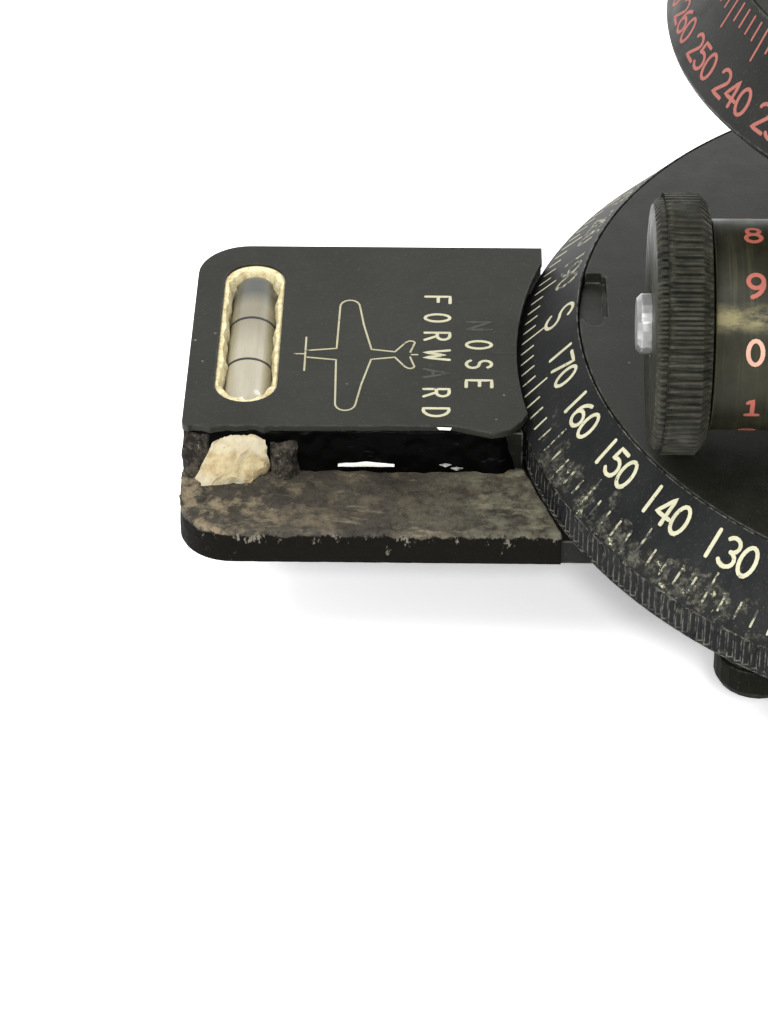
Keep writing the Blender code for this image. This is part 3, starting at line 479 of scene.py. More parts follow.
def add_grid(shape, rows, wrap_rows=True, wrap_columns=True):
    """Add quads between rows of points; a row is a list of points of equal count."""
    vertices = [[shape.verts.new(point) for point in row] for row in rows]
    count = len(rows[0])
    last = len(rows) if wrap_rows else len(rows) - 1
    for i in range(last):
        low, high = vertices[i], vertices[(i + 1) % len(rows)]
        for j in range(count if wrap_columns else count - 1):
            k = (j + 1) % count
            shape.faces.new((low[j], low[k], high[k], high[j]))
    return vertices


def rounded(profile, radius, steps=3):
    """Round the corners of a closed (radius, height) profile."""
    points = []
    count = len(profile)
    for i, corner in enumerate(profile):
        here = Vector(corner)
        before = Vector(profile[i - 1]) - here
        after = Vector(profile[(i + 1) % count]) - here
        reach = min(radius, before.length * 0.4, after.length * 0.4)
        start = here + before.normalized() * reach
        end = here + after.normalized() * reach
        for k in range(steps + 1):
            t = k / steps
            points.append(tuple(start.lerp(here, t).lerp(here.lerp(end, t), t)))
    return points


def revolve(name, profile, count, paint, body, slot, replaced=(), change=None, axis=None):
    """A turned ring. change(angle_index, angle, radius, height) may return a new radius and height."""
    shape = bmesh.new()
    rows = []
    for radius, height in profile:
        row = []
        for j in range(count):
            turn = math.tau * j / count
            r, h = change(j, turn, radius, height) if change else (radius, height)
            row.append((r * math.cos(turn), r * math.sin(turn), h))
        rows.append(row)
    add_grid(shape, rows)
    if axis:
        bmesh.ops.transform(shape, matrix=axis, verts=shape.verts)
    return piece(name, shape, paint, body, slot, replaced)


def slab(name, loops, low, high, paint, body, slot, replaced=()):
    """A flat plate between two heights, from an outline and its holes."""
    curve = bpy.data.curves.new(name, "CURVE")
    curve.dimensions = "2D"
    curve.fill_mode = "BOTH"
    curve.extrude = (high - low) * MM / 2
    for loop in loops:
        spline = curve.splines.new("POLY")
        spline.points.add(len(loop) - 1)
        for point, (x, y) in zip(spline.points, loop):
            point.co = (x * MM, y * MM, 0.0, 1.0)
        spline.use_cyclic_u = True
    sketch = bpy.data.objects.new(name + "_outline", curve)
    bpy.context.scene.collection.objects.link(sketch)
    graph = bpy.context.evaluated_depsgraph_get()
    mesh = bpy.data.meshes.new_from_object(sketch.evaluated_get(graph))
    bpy.data.objects.remove(sketch, do_unlink=True)
    shape = bmesh.new()
    shape.from_mesh(mesh)
    bmesh.ops.remove_doubles(shape, verts=shape.verts, dist=0.000005)
    bmesh.ops.translate(shape, vec=(0, 0, (high + low) * MM / 2), verts=shape.verts)
    bmesh.ops.scale(shape, vec=(1 / MM, 1 / MM, 1 / MM), verts=shape.verts)
    return piece(name, shape, paint, body, slot, replaced)


def thicken(made, thickness):
    """Give a sheet a thickness towards its inside."""
    step = made.modifiers.new("thickness", "SOLIDIFY")
    step.thickness = thickness * MM
    step.offset = -1.0


def add_block(shape, middle, size):
    """Add a box, from its middle and its size."""
    place = Matrix.Translation(middle) @ Matrix.Diagonal((*size, 1.0))
    bmesh.ops.create_cube(shape, size=1.0, matrix=place)


def cut_with(made, shape):
    """Cut a bmesh in millimetres out of a piece, and drop the cutter."""
    bmesh.ops.scale(shape, vec=(MM, MM, MM), verts=shape.verts)
    mesh = bpy.data.meshes.new("cutter")
    shape.to_mesh(mesh)
    shape.free()
    cutter = bpy.data.objects.new("cutter", mesh)
    bpy.context.scene.collection.objects.link(cutter)
    step = made.modifiers.new("cut", "BOOLEAN")
    step.operation = "DIFFERENCE"
    step.object = cutter
    step.use_self = True
    graph = bpy.context.evaluated_depsgraph_get()
    result = bpy.data.meshes.new_from_object(made.evaluated_get(graph))
    made.modifiers.clear()
    made.data = result
    bpy.data.objects.remove(cutter, do_unlink=True)


ALONG_DRIVE = Matrix.Translation((0.0, DRIVE_Y, DRIVE_Z)) @ Matrix.Rotation(math.radians(90.0), 4, "Y")


# --- Single-stroke engraved figures ------------------------------------------------------------------


def bow(x, y, rx, ry, start, end, steps=10):
    """Points on an ellipse from one angle to another."""
    angles = [math.radians(start + (end - start) * i / steps) for i in range(steps + 1)]
    return [(x + rx * math.cos(a), y + ry * math.sin(a)) for a in angles]


OVAL = bow(0.29, 0.5, 0.25, 0.48, 90, 450, 18)
GLYPHS = {
    "0": [OVAL],
    "1": [[(0.29, 0.98), (0.29, 0.02)]],
    "i": [[(0.14, 0.80), (0.31, 0.96), (0.31, 0.04)], [(0.10, 0.04), (0.52, 0.04)]],
    "2": [bow(0.29, 0.72, 0.25, 0.26, 165, -35, 9) + [(0.05, 0.03), (0.56, 0.03)]],
    "3": [bow(0.27, 0.745, 0.24, 0.235, 150, -85, 9), bow(0.27, 0.27, 0.27, 0.25, 85, -150, 9)],
    "4": [[(0.42, 0.02), (0.42, 0.98), (0.03, 0.30), (0.60, 0.30)]],
    "5": [[(0.52, 0.97), (0.12, 0.97), (0.08, 0.55)] + bow(0.28, 0.33, 0.27, 0.31, 125, -145, 10)],
    "6": [bow(0.30, 0.30, 0.26, 0.28, 170, -190, 16), bow(0.62, 0.42, 0.58, 0.56, 190, 108, 6)],
    "7": [[(0.03, 0.97), (0.56, 0.97), (0.22, 0.02)]],
    "8": [bow(0.29, 0.75, 0.21, 0.23, -90, 270, 14), bow(0.29, 0.27, 0.26, 0.25, 90, 450, 16)],
    "9": [bow(0.29, 0.70, 0.26, 0.28, -10, 350, 16), bow(-0.03, 0.58, 0.58, 0.56, 10, -72, 6)],
    "N": [[(0.04, 0.02), (0.04, 0.98), (0.56, 0.02), (0.56, 0.98)]],
    "S": [bow(0.29, 0.745, 0.23, 0.235, 20, 255, 9) + bow(0.29, 0.265, 0.25, 0.245, 75, -160, 9)],
    "E": [[(0.52, 0.98), (0.06, 0.98), (0.06, 0.02), (0.52, 0.02)], [(0.06, 0.52), (0.44, 0.52)]],
    "W": [[(0.0, 0.98), (0.15, 0.02), (0.32, 0.80), (0.49, 0.02), (0.64, 0.98)]],
    "O": [OVAL],
    "F": [[(0.52, 0.98), (0.06, 0.98), (0.06, 0.02)], [(0.06, 0.52), (0.44, 0.52)]],
    "R": [
        [(0.06, 0.02), (0.06, 0.98)] + bow(0.28, 0.74, 0.25, 0.24, 90, -90, 8) + [(0.06, 0.5)],
        [(0.28, 0.5), (0.55, 0.02)],
    ],
    "A": [[(0.02, 0.02), (0.29, 0.98), (0.56, 0.02)], [(0.13, 0.36), (0.45, 0.36)]],
    "D": [[(0.06, 0.02), (0.06, 0.98)] + bow(0.16, 0.5, 0.40, 0.48, 90, -90, 10) + [(0.06, 0.02)]],
}


def word_strokes(word, height, pitch, squeeze=1.0):
    """Strokes of a word centred on the origin, in millimetres."""
    strokes = []
    width = pitch * (len(word) - 1)
    for i, letter in enumerate(word):
        shift = i * pitch - width / 2
        for stroke in GLYPHS[letter]:
            points = [(shift + (x - 0.29) * height * squeeze, (y - 0.5) * height) for x, y in stroke]
            strokes.append(points)
    return strokes


LONGEST_CHORD = 0.5


def add_stroke(shape, stroke, width, lay, lift=0.05, sink=0.06):
    """Add one stroke as a closed, slightly crowned ribbon with tapered round ends.

    lay(u, v, h) carries a point of the flat drawing, at a height h, onto the surface.
    """
    bends = [Vector(p) for p in stroke]
    points = [bends[0]]
    for end in bends[1:]:
        start = points[-1]
        parts = max(1, math.ceil((end - start).length / LONGEST_CHORD))
        points += [start.lerp(end, i / parts) for i in range(1, parts + 1)]
    closed = (points[0] - points[-1]).length < 1e-6
    if closed:
        ring = points[:-1]
        tangents = [(ring[(i + 1) % len(ring)] - ring[i - 1]).normalized() for i in range(len(ring))]
        halves = [width / 2] * len(ring)
    else:
        first = (points[1] - points[0]).normalized()
        last = (points[-1] - points[-2]).normalized()
        ring = [points[0] - first * width * 0.32, *points, points[-1] + last * width * 0.32]
        tip = len(ring) - 1
        tangents = [(ring[min(i + 1, tip)] - ring[max(i - 1, 0)]).normalized() for i in range(tip + 1)]
        halves = [width * 0.30] + [width / 2] * len(points) + [width * 0.30]
    section = [(-1.0, -sink), (-0.8, lift * 0.7), (0.0, lift), (0.8, lift * 0.7), (1.0, -sink)]
    rows = []
    for point, tangent, half in zip(ring, tangents, halves):
        side = Vector((-tangent.y, tangent.x)) * half
        rows.append([lay(*(point + side * across), up) for across, up in section])
    grid = add_grid(shape, rows, wrap_rows=closed)
    if not closed:
        shape.faces.new(grid[0])
        shape.faces.new(grid[-1])


def add_strokes(shape, strokes, width, lay, lift=0.05):
    """Add the strokes of one drawing."""
    for stroke in strokes:
        add_stroke(shape, stroke, width, lay, lift)


def engrave(name, strokes, width, lay, paint, body, slot):
    """A set of strokes laid on a surface as one piece."""
    shape = bmesh.new()
    add_strokes(shape, strokes, width, lay)
    return piece(name, shape, paint, body, slot)


def on_cone(radius, height, slope_run, slope_rise, turn):
    """Lay a drawing on a cone about Z: v runs up the slope, and u runs clockwise seen from above."""
    length = math.hypot(slope_run, slope_rise)
    run, rise = slope_run / length, slope_rise / length

    def lay(u, v, h):
        r = radius - v * run + h * rise
        angle = turn + u / radius
        return r * math.cos(angle), r * math.sin(angle), height + v * rise + h * run

    return lay


# --- Bearing ring ------------------------------------------------------------------------------------

KNURL_TEETH = 380
KNURL_DEPTH = 0.42
TICK_OUTER = 60.0
TICK_LONG = 2.4
TICK_SHORT = 1.3
BEARING_FIGURE = 3.35
FIGURE_RADIUS = 55.85


def lug_angle(value, at_lug):
    """The angle about Z of a scale value that runs clockwise seen from above."""
    return math.pi - math.radians(value - at_lug)


def bevel_height(radius):
    """The height of the ring's bevel at a radius."""
    return DECK_TOP - (radius - BEVEL_TOP_RADIUS) * BEVEL_RISE / BEVEL_RUN


def ring_change(j, turn, radius, height):
    """Cut the rim's straight knurl, and batter the bevel where the front left is worn."""
    rim = radius > RING_RADIUS - 0.05 and RING_BOTTOM + 0.6 < height < RING_BOTTOM + 3.9
    if rim and j % 2:
        radius -= KNURL_DEPTH
    worn = max(0.0, math.cos(turn - WORN_SIDE) - math.cos(math.radians(25.0))) * 12.0
    if radius > BEVEL_TOP_RADIUS + 3.0 and height > RING_BOTTOM + 3.0:
        place = Vector((radius * math.cos(turn), radius * math.sin(turn), height))
        dent = max(0.0, noise.noise(place * 0.9) + 0.5 * noise.noise(place * 2.3) - 0.05)
        radius -= min(1.0, worn) * dent * 0.55
        height -= min(1.0, worn) * dent * 0.30
    return radius, height


def build_bearing_ring():
    """The ring's body, its marks every 2 degrees and its figures every 10."""
    edge = BEVEL_TOP_RADIUS
    foot = edge + BEVEL_RUN
    rim_top = RING_BOTTOM + 4.1
    bevel = [(edge + BEVEL_RUN * i / 14, bevel_height(edge + BEVEL_RUN * i / 14)) for i in range(14)]
    rim = [(foot + 0.1, bevel_height(foot) - 0.05)]
    rim += [(RING_RADIUS - 0.05, rim_top), (RING_RADIUS, rim_top - 0.25)]
    rim += [(RING_RADIUS, z) for z in (RING_BOTTOM + 3.2, RING_BOTTOM + 1.8, RING_BOTTOM + 0.7)]
    rim += [(RING_RADIUS, RING_BOTTOM + 0.45), (RING_RADIUS - 0.45, RING_BOTTOM)]
    bore, seat = 48.0, DECK_TOP - 3.25
    inside = [(bore, RING_BOTTOM), (bore, seat), (edge, seat), (edge, DECK_TOP - 0.2)]
    profile = [(edge + 0.12, DECK_TOP)] + bevel[1:] + rim + inside
    role = ("bearing", "ring_paint")
    revolve("bearing_ring_body", profile, 2 * KNURL_TEETH, RING, *role, ["bearing_ring"], ring_change)

    slope = (BEVEL_RUN, BEVEL_RISE)
    stretch = math.hypot(*slope) / BEVEL_RUN
    clean, worn = bmesh.new(), bmesh.new()
    for value in range(0, 360, 2):
        turn = lug_angle(value, BEARING_AT_LUG)
        shape = worn if math.cos(turn - WORN_SIDE) > math.cos(math.radians(20.0)) else clean
        length = (TICK_LONG if value % 10 == 0 else TICK_SHORT) * stretch
        lay = on_cone(TICK_OUTER, bevel_height(TICK_OUTER), *slope, turn)
        add_stroke(shape, [(0.0, 0.0), (0.0, length)], 0.30, lay, 0.035)
    piece("bearing_marks", clean, IVORY_FILL, *role)
    piece("bearing_marks_worn", worn, WORN_IVORY, *role)

    letters = {0: "N", 90: "E", 180: "S", 270: "W"}
    bright, faded = bmesh.new(), bmesh.new()
    for value in range(0, 360, 10):
        turn = lug_angle(value, BEARING_AT_LUG)
        lay = on_cone(FIGURE_RADIUS, bevel_height(FIGURE_RADIUS), *slope, turn)
        strokes = word_strokes(f"{value:03d}", BEARING_FIGURE, 2.35, 1.08)
        if value in letters:
            strokes = word_strokes(letters[value], BEARING_FIGURE * 1.35, 2.0, 1.1)
        add_strokes(faded if 185 < value < 235 else bright, strokes, 0.56, lay, 0.04)
    piece("bearing_figures", bright, IVORY_FILL, *role)
    piece("bearing_figures_faded", faded, WORN_IVORY, *role)


def build_deck():
    """The deck disc with the milled notch and hole at its heading edge."""
    bore = 5.3
    low = DECK_LOW[2]
    edge = DECK_RADIUS + 0.16
    profile = rounded([(bore, DECK_TOP), (edge, DECK_TOP), (edge, low), (bore, low)], 0.14, 2)
    deck = revolve("deck_disc", profile, 240, DECK_BLACK, "bearing", "black_paint", ["deck_plate"])
    shape = bmesh.new()
    add_block(shape, (-55.5, 4.8, DECK_TOP), (9.4, 9.6, 3.0))
    hole = Matrix.Translation((-51.9, -0.2, DECK_TOP))
    bmesh.ops.create_cone(
        shape, cap_ends=True, segments=32, radius1=1.15, radius2=1.15, depth=3.2, matrix=hole
    )
    add_block(shape, (-50.6, 4.6, DECK_TOP), (0.55, 8.4, 2.4))
    cut_with(deck, shape)


# --- Latitude knob and drum --------------------------------------------------------------------------

FLUTES = 88
FLUTE_DEPTH = 0.48


def flute_change(j, turn, radius, height):
    """Cut flutes into the knob's rim, running out at the chamfers."""
    if j % 4 in (2, 3) and radius > KNOB_RADIUS - 0.75:
        radius -= FLUTE_DEPTH
    return radius, height


def build_latitude_drive():
    """The fluted knob, and the drum with its ten figures."""
    low, high = KNOB_LOW[0], KNOB_HIGH[0]
    bore = 3.5
    outer = KNOB_RADIUS
    flank = outer - 0.55
    face = [(bore, high), (outer - 1.2, high), (flank, high - 0.5)]
    profile = rounded(face + [(flank, low + 0.5), (outer - 1.3, low), (bore, low)], 0.12, 2)
    crest = [(outer, high - 1.1), (outer, high - 2.6), (outer, low + 2.6), (outer, low + 1.1)]
    at = next(i for i, p in enumerate(profile) if p[0] > outer - 0.6 and p[1] < high - 0.4)
    while profile[at][1] > high - 0.6:
        at += 1
    profile = profile[:at] + crest + profile[at:]
    body = "latitude_drive"
    turned = (["latitude_knob"], flute_change, ALONG_DRIVE)
    revolve("latitude_knob_fluted", profile, 4 * FLUTES, OLIVE, body, "olive_metal", *turned)

    left, right = DRUM_LOW[0], DRUM_HIGH[0]
    drum = rounded([(bore, right), (DRUM_RADIUS, right), (DRUM_RADIUS, left), (bore, left)], 0.25, 2)
    turned = (["latitude_drum"], None, ALONG_DRIVE)
    revolve("latitude_drum_body", drum, 160, DRUM, body, "drum_metal", *turned)

    middle = left + 4.1
    red, cream = bmesh.new(), bmesh.new()
    for digit in range(10):
        turn = math.radians(180.0 - 18.8 + 36.0 * digit)

        def lay(u, v, h):
            angle = turn - v / DRUM_RADIUS
            reach = DRUM_RADIUS + h
            return middle + u, DRIVE_Y + reach * math.cos(angle), DRIVE_Z + reach * math.sin(angle)

        word = str(digit).replace("1", "i")
        add_strokes(red if digit else cream, word_strokes(word, 2.65, 2.0, 1.15), 0.55, lay, 0.04)
    piece("drum_figures", red, DRUM_RED, body, "drum_metal")
    piece("drum_figure_zero", cream, CREAM_FILL, body, "drum_metal")


# --- Hour circle -------------------------------------------------------------------------------------

HOUR_INNER = 40.5
HOUR_TICK_RADIUS = 40.85
HOUR_FIGURE_RADIUS = 44.6


def build_hour_circle():
    """The conical hour circle with its salmon scale, and the plate inside it."""
    rim_level = HOUR_LOW[2] + 1.45
    top = HOUR_HIGH[2]
    inner = HOUR_INNER
    slope_run = HOUR_RADIUS - inner
    slope_rise = top - rim_level
    ledge = top - 2.9
    outer = [(inner, top), (HOUR_RADIUS - 0.08, rim_level + 0.15)]
    outer += [(HOUR_RADIUS - 0.2, rim_level - 0.3), (HOUR_RADIUS - 1.3, HOUR_LOW[2])]
    under = [(42.8, HOUR_LOW[2]), (42.4, rim_level)]
    under += [(39.0, ledge - 1.6), (35.0, ledge - 1.6), (35.0, ledge)]
    profile = outer + under + [(inner - 0.35, ledge), (inner - 0.35, top - 0.1)]
    on_axis = Matrix.Translation((POLAR_X, 0.0, 0.0))
    turned = (["hour_circle"], None, on_axis)
    revolve("hour_circle_body", profile, 240, HOUR_BLACK, "hour", "ring_paint", *turned)
    plate_low, plate_high = corners("hour_plate")
    bore, radius = 4.3, plate_high[0] - POLAR_X
    low, high = plate_low[2], plate_high[2]
    disc = rounded([(bore, high), (radius, high), (radius, low), (bore, low)], 0.2, 2)
    turned = (["hour_plate"], None, on_axis)
    revolve("hour_plate_disc", disc, 240, LABEL_BLACK, "hour", "black_paint", *turned)

    def level(radius):
        return rim_level + (HOUR_RADIUS - radius) / slope_run * slope_rise

    def lay_at(radius, value):
        return on_cone(radius, level(radius), slope_run, slope_rise, lug_angle(value, HOUR_AT_LUG))

    shape = bmesh.new()
    for value in range(0, 360, 2):
        drop = 3.7 if value % 10 == 0 else 2.1
        add_stroke(shape, [(0.0, 0.0), (0.0, -drop)], 0.30, lay_at(HOUR_TICK_RADIUS, value), 0.035)
    for value in range(0, 360, 10):
        strokes = word_strokes(f"{value:03d}", 3.0, 2.15, 1.1)
        add_strokes(shape, strokes, 0.50, lay_at(HOUR_FIGURE_RADIUS, value), 0.04)
    bmesh.ops.translate(shape, vec=(POLAR_X, 0.0, 0.0), verts=shape.verts)
    piece("hour_scale", shape, SALMON_FILL, "hour", "ring_paint")


# --- Latitude and declination scales -----------------------------------------------------------------


def build_latitude_scale():
    """Ticks every 5 degrees and figures every 30 on the coarse latitude disc."""
    hinge_x = (HINGE_LOW[0] + HINGE_HIGH[0]) / 2
    hinge_z = (HINGE_LOW[2] + HINGE_HIGH[2]) / 2
    face = SCALE_LOW[1]
    rim = SCALE_HIGH[0] - hinge_x

    def lay_at(radius, turn):
        way = Vector((math.cos(turn), math.sin(turn)))
        across = Vector((way.y, -way.x))

        def lay(u, v, h):
            flat = way * (radius + v) + across * u
            return hinge_x + flat.x, face - h, hinge_z + flat.y

        return lay

    shape = bmesh.new()
    for value in range(0, 91, 5):
        turn = math.radians(value - 90.0)
        length = 1.5 if value % 10 == 0 else 0.9
        add_stroke(shape, [(0.0, 0.0), (0.0, length)], 0.22, lay_at(rim - 1.9, turn), 0.03)
        if value % 30 == 0:
            strokes = word_strokes(str(value), 1.7, 1.35, 1.1)
            add_strokes(shape, strokes, 0.28, lay_at(rim - 3.2, turn), 0.03)
    piece("latitude_scale_marks", shape, IVORY_FILL, "polar_frame", "black_paint")


def build_declination_scale():
    """Ticks every 5 degrees and figures every 20 round the declination drum."""
    centre_x = (DEC_LOW[0] + DEC_HIGH[0]) / 2
    centre_z = (DEC_LOW[2] + DEC_HIGH[2]) / 2
    radius = (DEC_HIGH[2] - DEC_LOW[2]) / 2
    middle_y = DEC_LOW[1] + 4.4

    def lay_at(turn, side):
        def lay(u, v, h):
            angle = turn + side * v / radius
            reach = radius + h
            x = centre_x + reach * math.cos(angle)
            return x, middle_y - side * u, centre_z + reach * math.sin(angle)

        return lay

    shape = bmesh.new()
    for side, level in ((1, 0.0), (-1, 180.0)):
        for value in range(-60, 61, 5):
            length = 1.8 if value % 10 == 0 else 1.1
            lay = lay_at(math.radians(level + value), 1)
            add_stroke(shape, [(3.0, 0.0), (3.0 - length, 0.0)], 0.24, lay, 0.03)
        for value in range(-60, 61, 20):
            strokes = word_strokes(str(abs(value)), 2.0, 1.55, 1.1)
            add_strokes(shape, strokes, 0.30, lay_at(math.radians(level + value), side), 0.03)
    piece("declination_scale_marks", shape, IVORY_FILL, "declination", "ring_paint")


# --- Heading lug -------------------------------------------------------------------------------------


def rough(x, y, z, size, seed=0.0):
    """Smooth noise with features of about a size in millimetres."""
    return noise.noise(Vector((x + seed, y - seed, z + 2 * seed)) / size)


def build_ledge():
    """The worn ledge and side of the heading lug's flange, over the casting."""
    columns = 200
    outline = []
    corner = 6.0
    front_end, corner_end = 0.80, 0.94
    bend_x, bend_y = LUG_LEFT_EDGE + corner, FRONT_FACE + corner
    start_x = -math.sqrt(RING_CLEAR**2 - FRONT_FACE**2)
    for i in range(columns + 1):
        t = i / columns
        if t < front_end:
            outline.append((start_x + (bend_x - start_x) * t / front_end, FRONT_FACE))
        elif t < corner_end:
            turn = math.radians(270.0 - 90.0 * (t - front_end) / (corner_end - front_end))
            outline.append((bend_x + corner * math.cos(turn), bend_y + corner * math.sin(turn)))
        else:
            along = (t - corner_end) / (1.0 - corner_end)
            outline.append((LUG_LEFT_EDGE, bend_y + (WALL_FOOT_Y - 1.0 - bend_y) * along))
    inner_y = WALL_FOOT_Y + 0.8
    start = -math.sqrt(RING_CLEAR**2 - inner_y**2)
    edge = 0.35 / 11
    rows = []
    for share in [i / 26 for i in range(27)]:
        row = []
        inward = edge + share * (1 - edge)
        for i, (ox, oy) in enumerate(outline):
            ix = start + (LUG_LEFT_EDGE + 0.2 - start) * min(1.0, i / columns * 1.02)
            x = ox + (ix - ox) * inward
            y = oy + (inner_y - oy) * inward
            z = LEDGE_LEVEL + 0.40
            for size, depth in ((5.0, 0.22), (1.3, 0.16), (0.5, 0.08)):
                z += depth * rough(x, y, 0, size)
            near_wall = 1.0 - min(1.0, abs(y - WALL_FOOT_Y) / 4.0)
            z += 0.5 * max(0.0, rough(x, y, 0, 3.0, 9.0) - 0.25) * near_wall
            if share < 0.10:
                z -= 0.9 * max(0.0, rough(x, y, 0, 1.7, 4.0) - 0.10)
            row.append((x, y, max(z, LEDGE_LEVEL + 0.04)))
        rows.append(row)
    rows.reverse()
    for k, level in enumerate((LEDGE_LEVEL - 0.15, 18.6, 17.8, 16.9, 16.1, FLANGE_BOTTOM + 0.05)):
        row = []
        for ox, oy in outline:
            dent = 0.30 * max(0.0, rough(ox, oy, level, 1.6, 4.0)) * (1.0 if k < 2 else 0.25)
            if oy < -21 and ox < -92:
                out = Vector((ox + 80.0, oy + 18.0)).normalized()
            else:
                out = Vector((0, -1)) if oy < -26 else Vector((-1, 0))
            ragged = 0.0 if k else 0.12 * rough(ox, oy, 0, 0.8)
            row.append((ox - out.x * dent, oy - out.y * dent, level + ragged))
        rows.append(row)
    shape = bmesh.new()
    add_grid(shape, rows, False, False)
    made = piece("heading_lug_ledge", shape, LEDGE, "base", "black_paint")
    thicken(made, 0.45)


def build_wall():
    """The glossy wall between the ledge and the label plate, with its broken lip."""
    columns, levels = 150, 14
    rows = []
    for k in range(levels + 1):
        t = k / levels
        row = []
        for i in range(columns + 1):
            s = i / columns
            y = WALL_TOP_Y + (WALL_FOOT_Y - WALL_TOP_Y) * t
            start = -math.sqrt((RING_CLEAR + 0.2) ** 2 - y * y)
            x = start + (LUG_LEFT_EDGE + 0.4 - start) * s
            z = PLATE_TOP - 0.75 + (LEDGE_LEVEL + 0.1 - PLATE_TOP + 0.75) * t
            nook = max(0.0, 1.0 - (x - start) / -3.2)
            y += 2.2 * nook * nook
            y -= 0.35 * rough(x, y, z, 4.0, 2.0) + 0.22 * rough(x, y, z, 1.5, 6.0)
            row.append((x, y, z))
        rows.append(row)
    shape = bmesh.new()
    add_grid(shape, rows, False, False)
    made = piece("heading_lug_wall", shape, WALL, "base", "black_paint")
    thicken(made, -0.5)


def wedge(name, points, seed, paint, slot, roughness, cuts=5):
    """A broken wedge: the hull of a few points, subdivided and roughened."""
    shape = bmesh.new()
    for point in points:
        shape.verts.new(point)
    bmesh.ops.convex_hull(shape, input=shape.verts)
    bmesh.ops.delete(shape, geom=[v for v in shape.verts if not v.link_faces], context="VERTS")
    bmesh.ops.subdivide_edges(shape, edges=shape.edges, cuts=cuts, use_grid_fill=True)
    for vertex in shape.verts:
        x, y, z = vertex.co
        for size, depth in ((2.4, roughness), (0.9, roughness * 0.5), (0.4, roughness * 0.25)):
            vertex.co += Vector([rough(x, y, z, size, seed + k) for k in (1, 20, 40)]) * depth
    return piece(name, shape, paint, "base", slot)


def build_broken_corner():
    """Setting plaster that shows where the wall has broken away, the dark crust round it, a painted
    highlight streak and painted glints on the wall, and a chip on the plate's edge.
    """
    top, foot = PLATE_LOW[2] - 0.1, LEDGE_LEVEL + 0.1
    plaster_points = [
        (-93.8, -14.0, top - 0.9), (-92.2, -13.8, top - 0.1), (-90.6, -13.8, top), (-89.2, -14.1, top - 0.6),
        (-97.2, -16.6, foot + 0.25), (-96.2, -18.7, foot), (-93.0, -18.0, foot + 0.15), (-90.4, -17.0, foot),
        (-88.0, -15.5, foot + 1.9), (-92.6, -15.6, top - 2.1), (-90.4, -15.5, top - 1.6),
        (-89.2, -16.3, foot + 1.3), (-96.4, -14.8, foot - 0.4), (-88.4, -14.6, foot - 0.4),
    ]
    wedge("plaster_chip", plaster_points, 3.0, PLASTER, "plaster", 0.55)
    left = [
        (-97.9, -14.0, top - 0.2), (-94.6, -13.8, top - 0.1), (-97.9, -15.6, foot), (-94.0, -15.8, foot),
        (-97.9, -14.9, top - 1.6), (-95.2, -15.0, top - 1.4), (-97.0, -17.0, foot), (-94.6, -13.2, foot),
        (-97.8, -13.2, foot),
    ]
    wedge("crust_left", left, 5.0, CRUST, "black_paint", 0.35)
    right = [
        (-88.4, -14.0, top - 0.4), (-85.2, -14.2, top - 1.0), (-88.0, -16.6, foot), (-84.8, -15.6, foot),
        (-87.9, -15.2, foot + 2.2), (-85.6, -15.1, foot + 1.6), (-86.4, -17.0, foot), (-88.4, -13.4, foot),
        (-84.9, -13.6, foot),
    ]
    wedge("crust_right", right, 9.0, CRUST, "black_paint", 0.35)
    # Painted highlight: a pale streak on the gloss wall where a lamp's reflection shows, built as a thin
    # sliver.
    spine = [(-80.6, 20.72), (-79.2, 20.98), (-77.4, 21.12), (-75.6, 21.02), (-74.3, 20.80)]
    streak = [(x, y, z + up) for x, z in spine for y, up in ((-15.42, 0.0), (-15.25, 0.12), (-14.8, 0.0))]
    wedge("wall_painted_highlight", streak, 2.0, WHITE_CHIP_AND_PAINTED_HIGHLIGHT, "black_paint", 0.06, 3)
    # Two painted glints: small grey flakes standing for reflections on the gloss wall.
    for name, x, z, seed in (("wall_glint_left", -68.6, 20.9, 6.0), ("wall_glint_right", -67.3, 20.4, 8.0)):
        glint_points = [(x - 0.75, -15.2, z + 0.1), (x, -15.3, z + 0.28), (x + 0.7, -15.1, z + 0.05)]
        glint_points += [(x, -15.35, z - 0.12), (x, -14.5, z)]
        wedge(name, glint_points, seed, PAINTED_GLINT_GREY, "black_paint", 0.08, 3)
    edge = PLATE_TOP - 0.05
    chip = [(-69.6, -14.45, edge), (-67.9, -14.5, edge), (-69.3, -14.62, PLATE_TOP - 0.30)]
    chip += [(-68.1, -14.66, PLATE_TOP - 0.28), (-68.8, -14.2, PLATE_TOP - 0.35)]
    wedge("plate_edge_chip", chip, 4.0, WHITE_CHIP_AND_PAINTED_HIGHLIGHT, "black_paint", 0.06, 3)


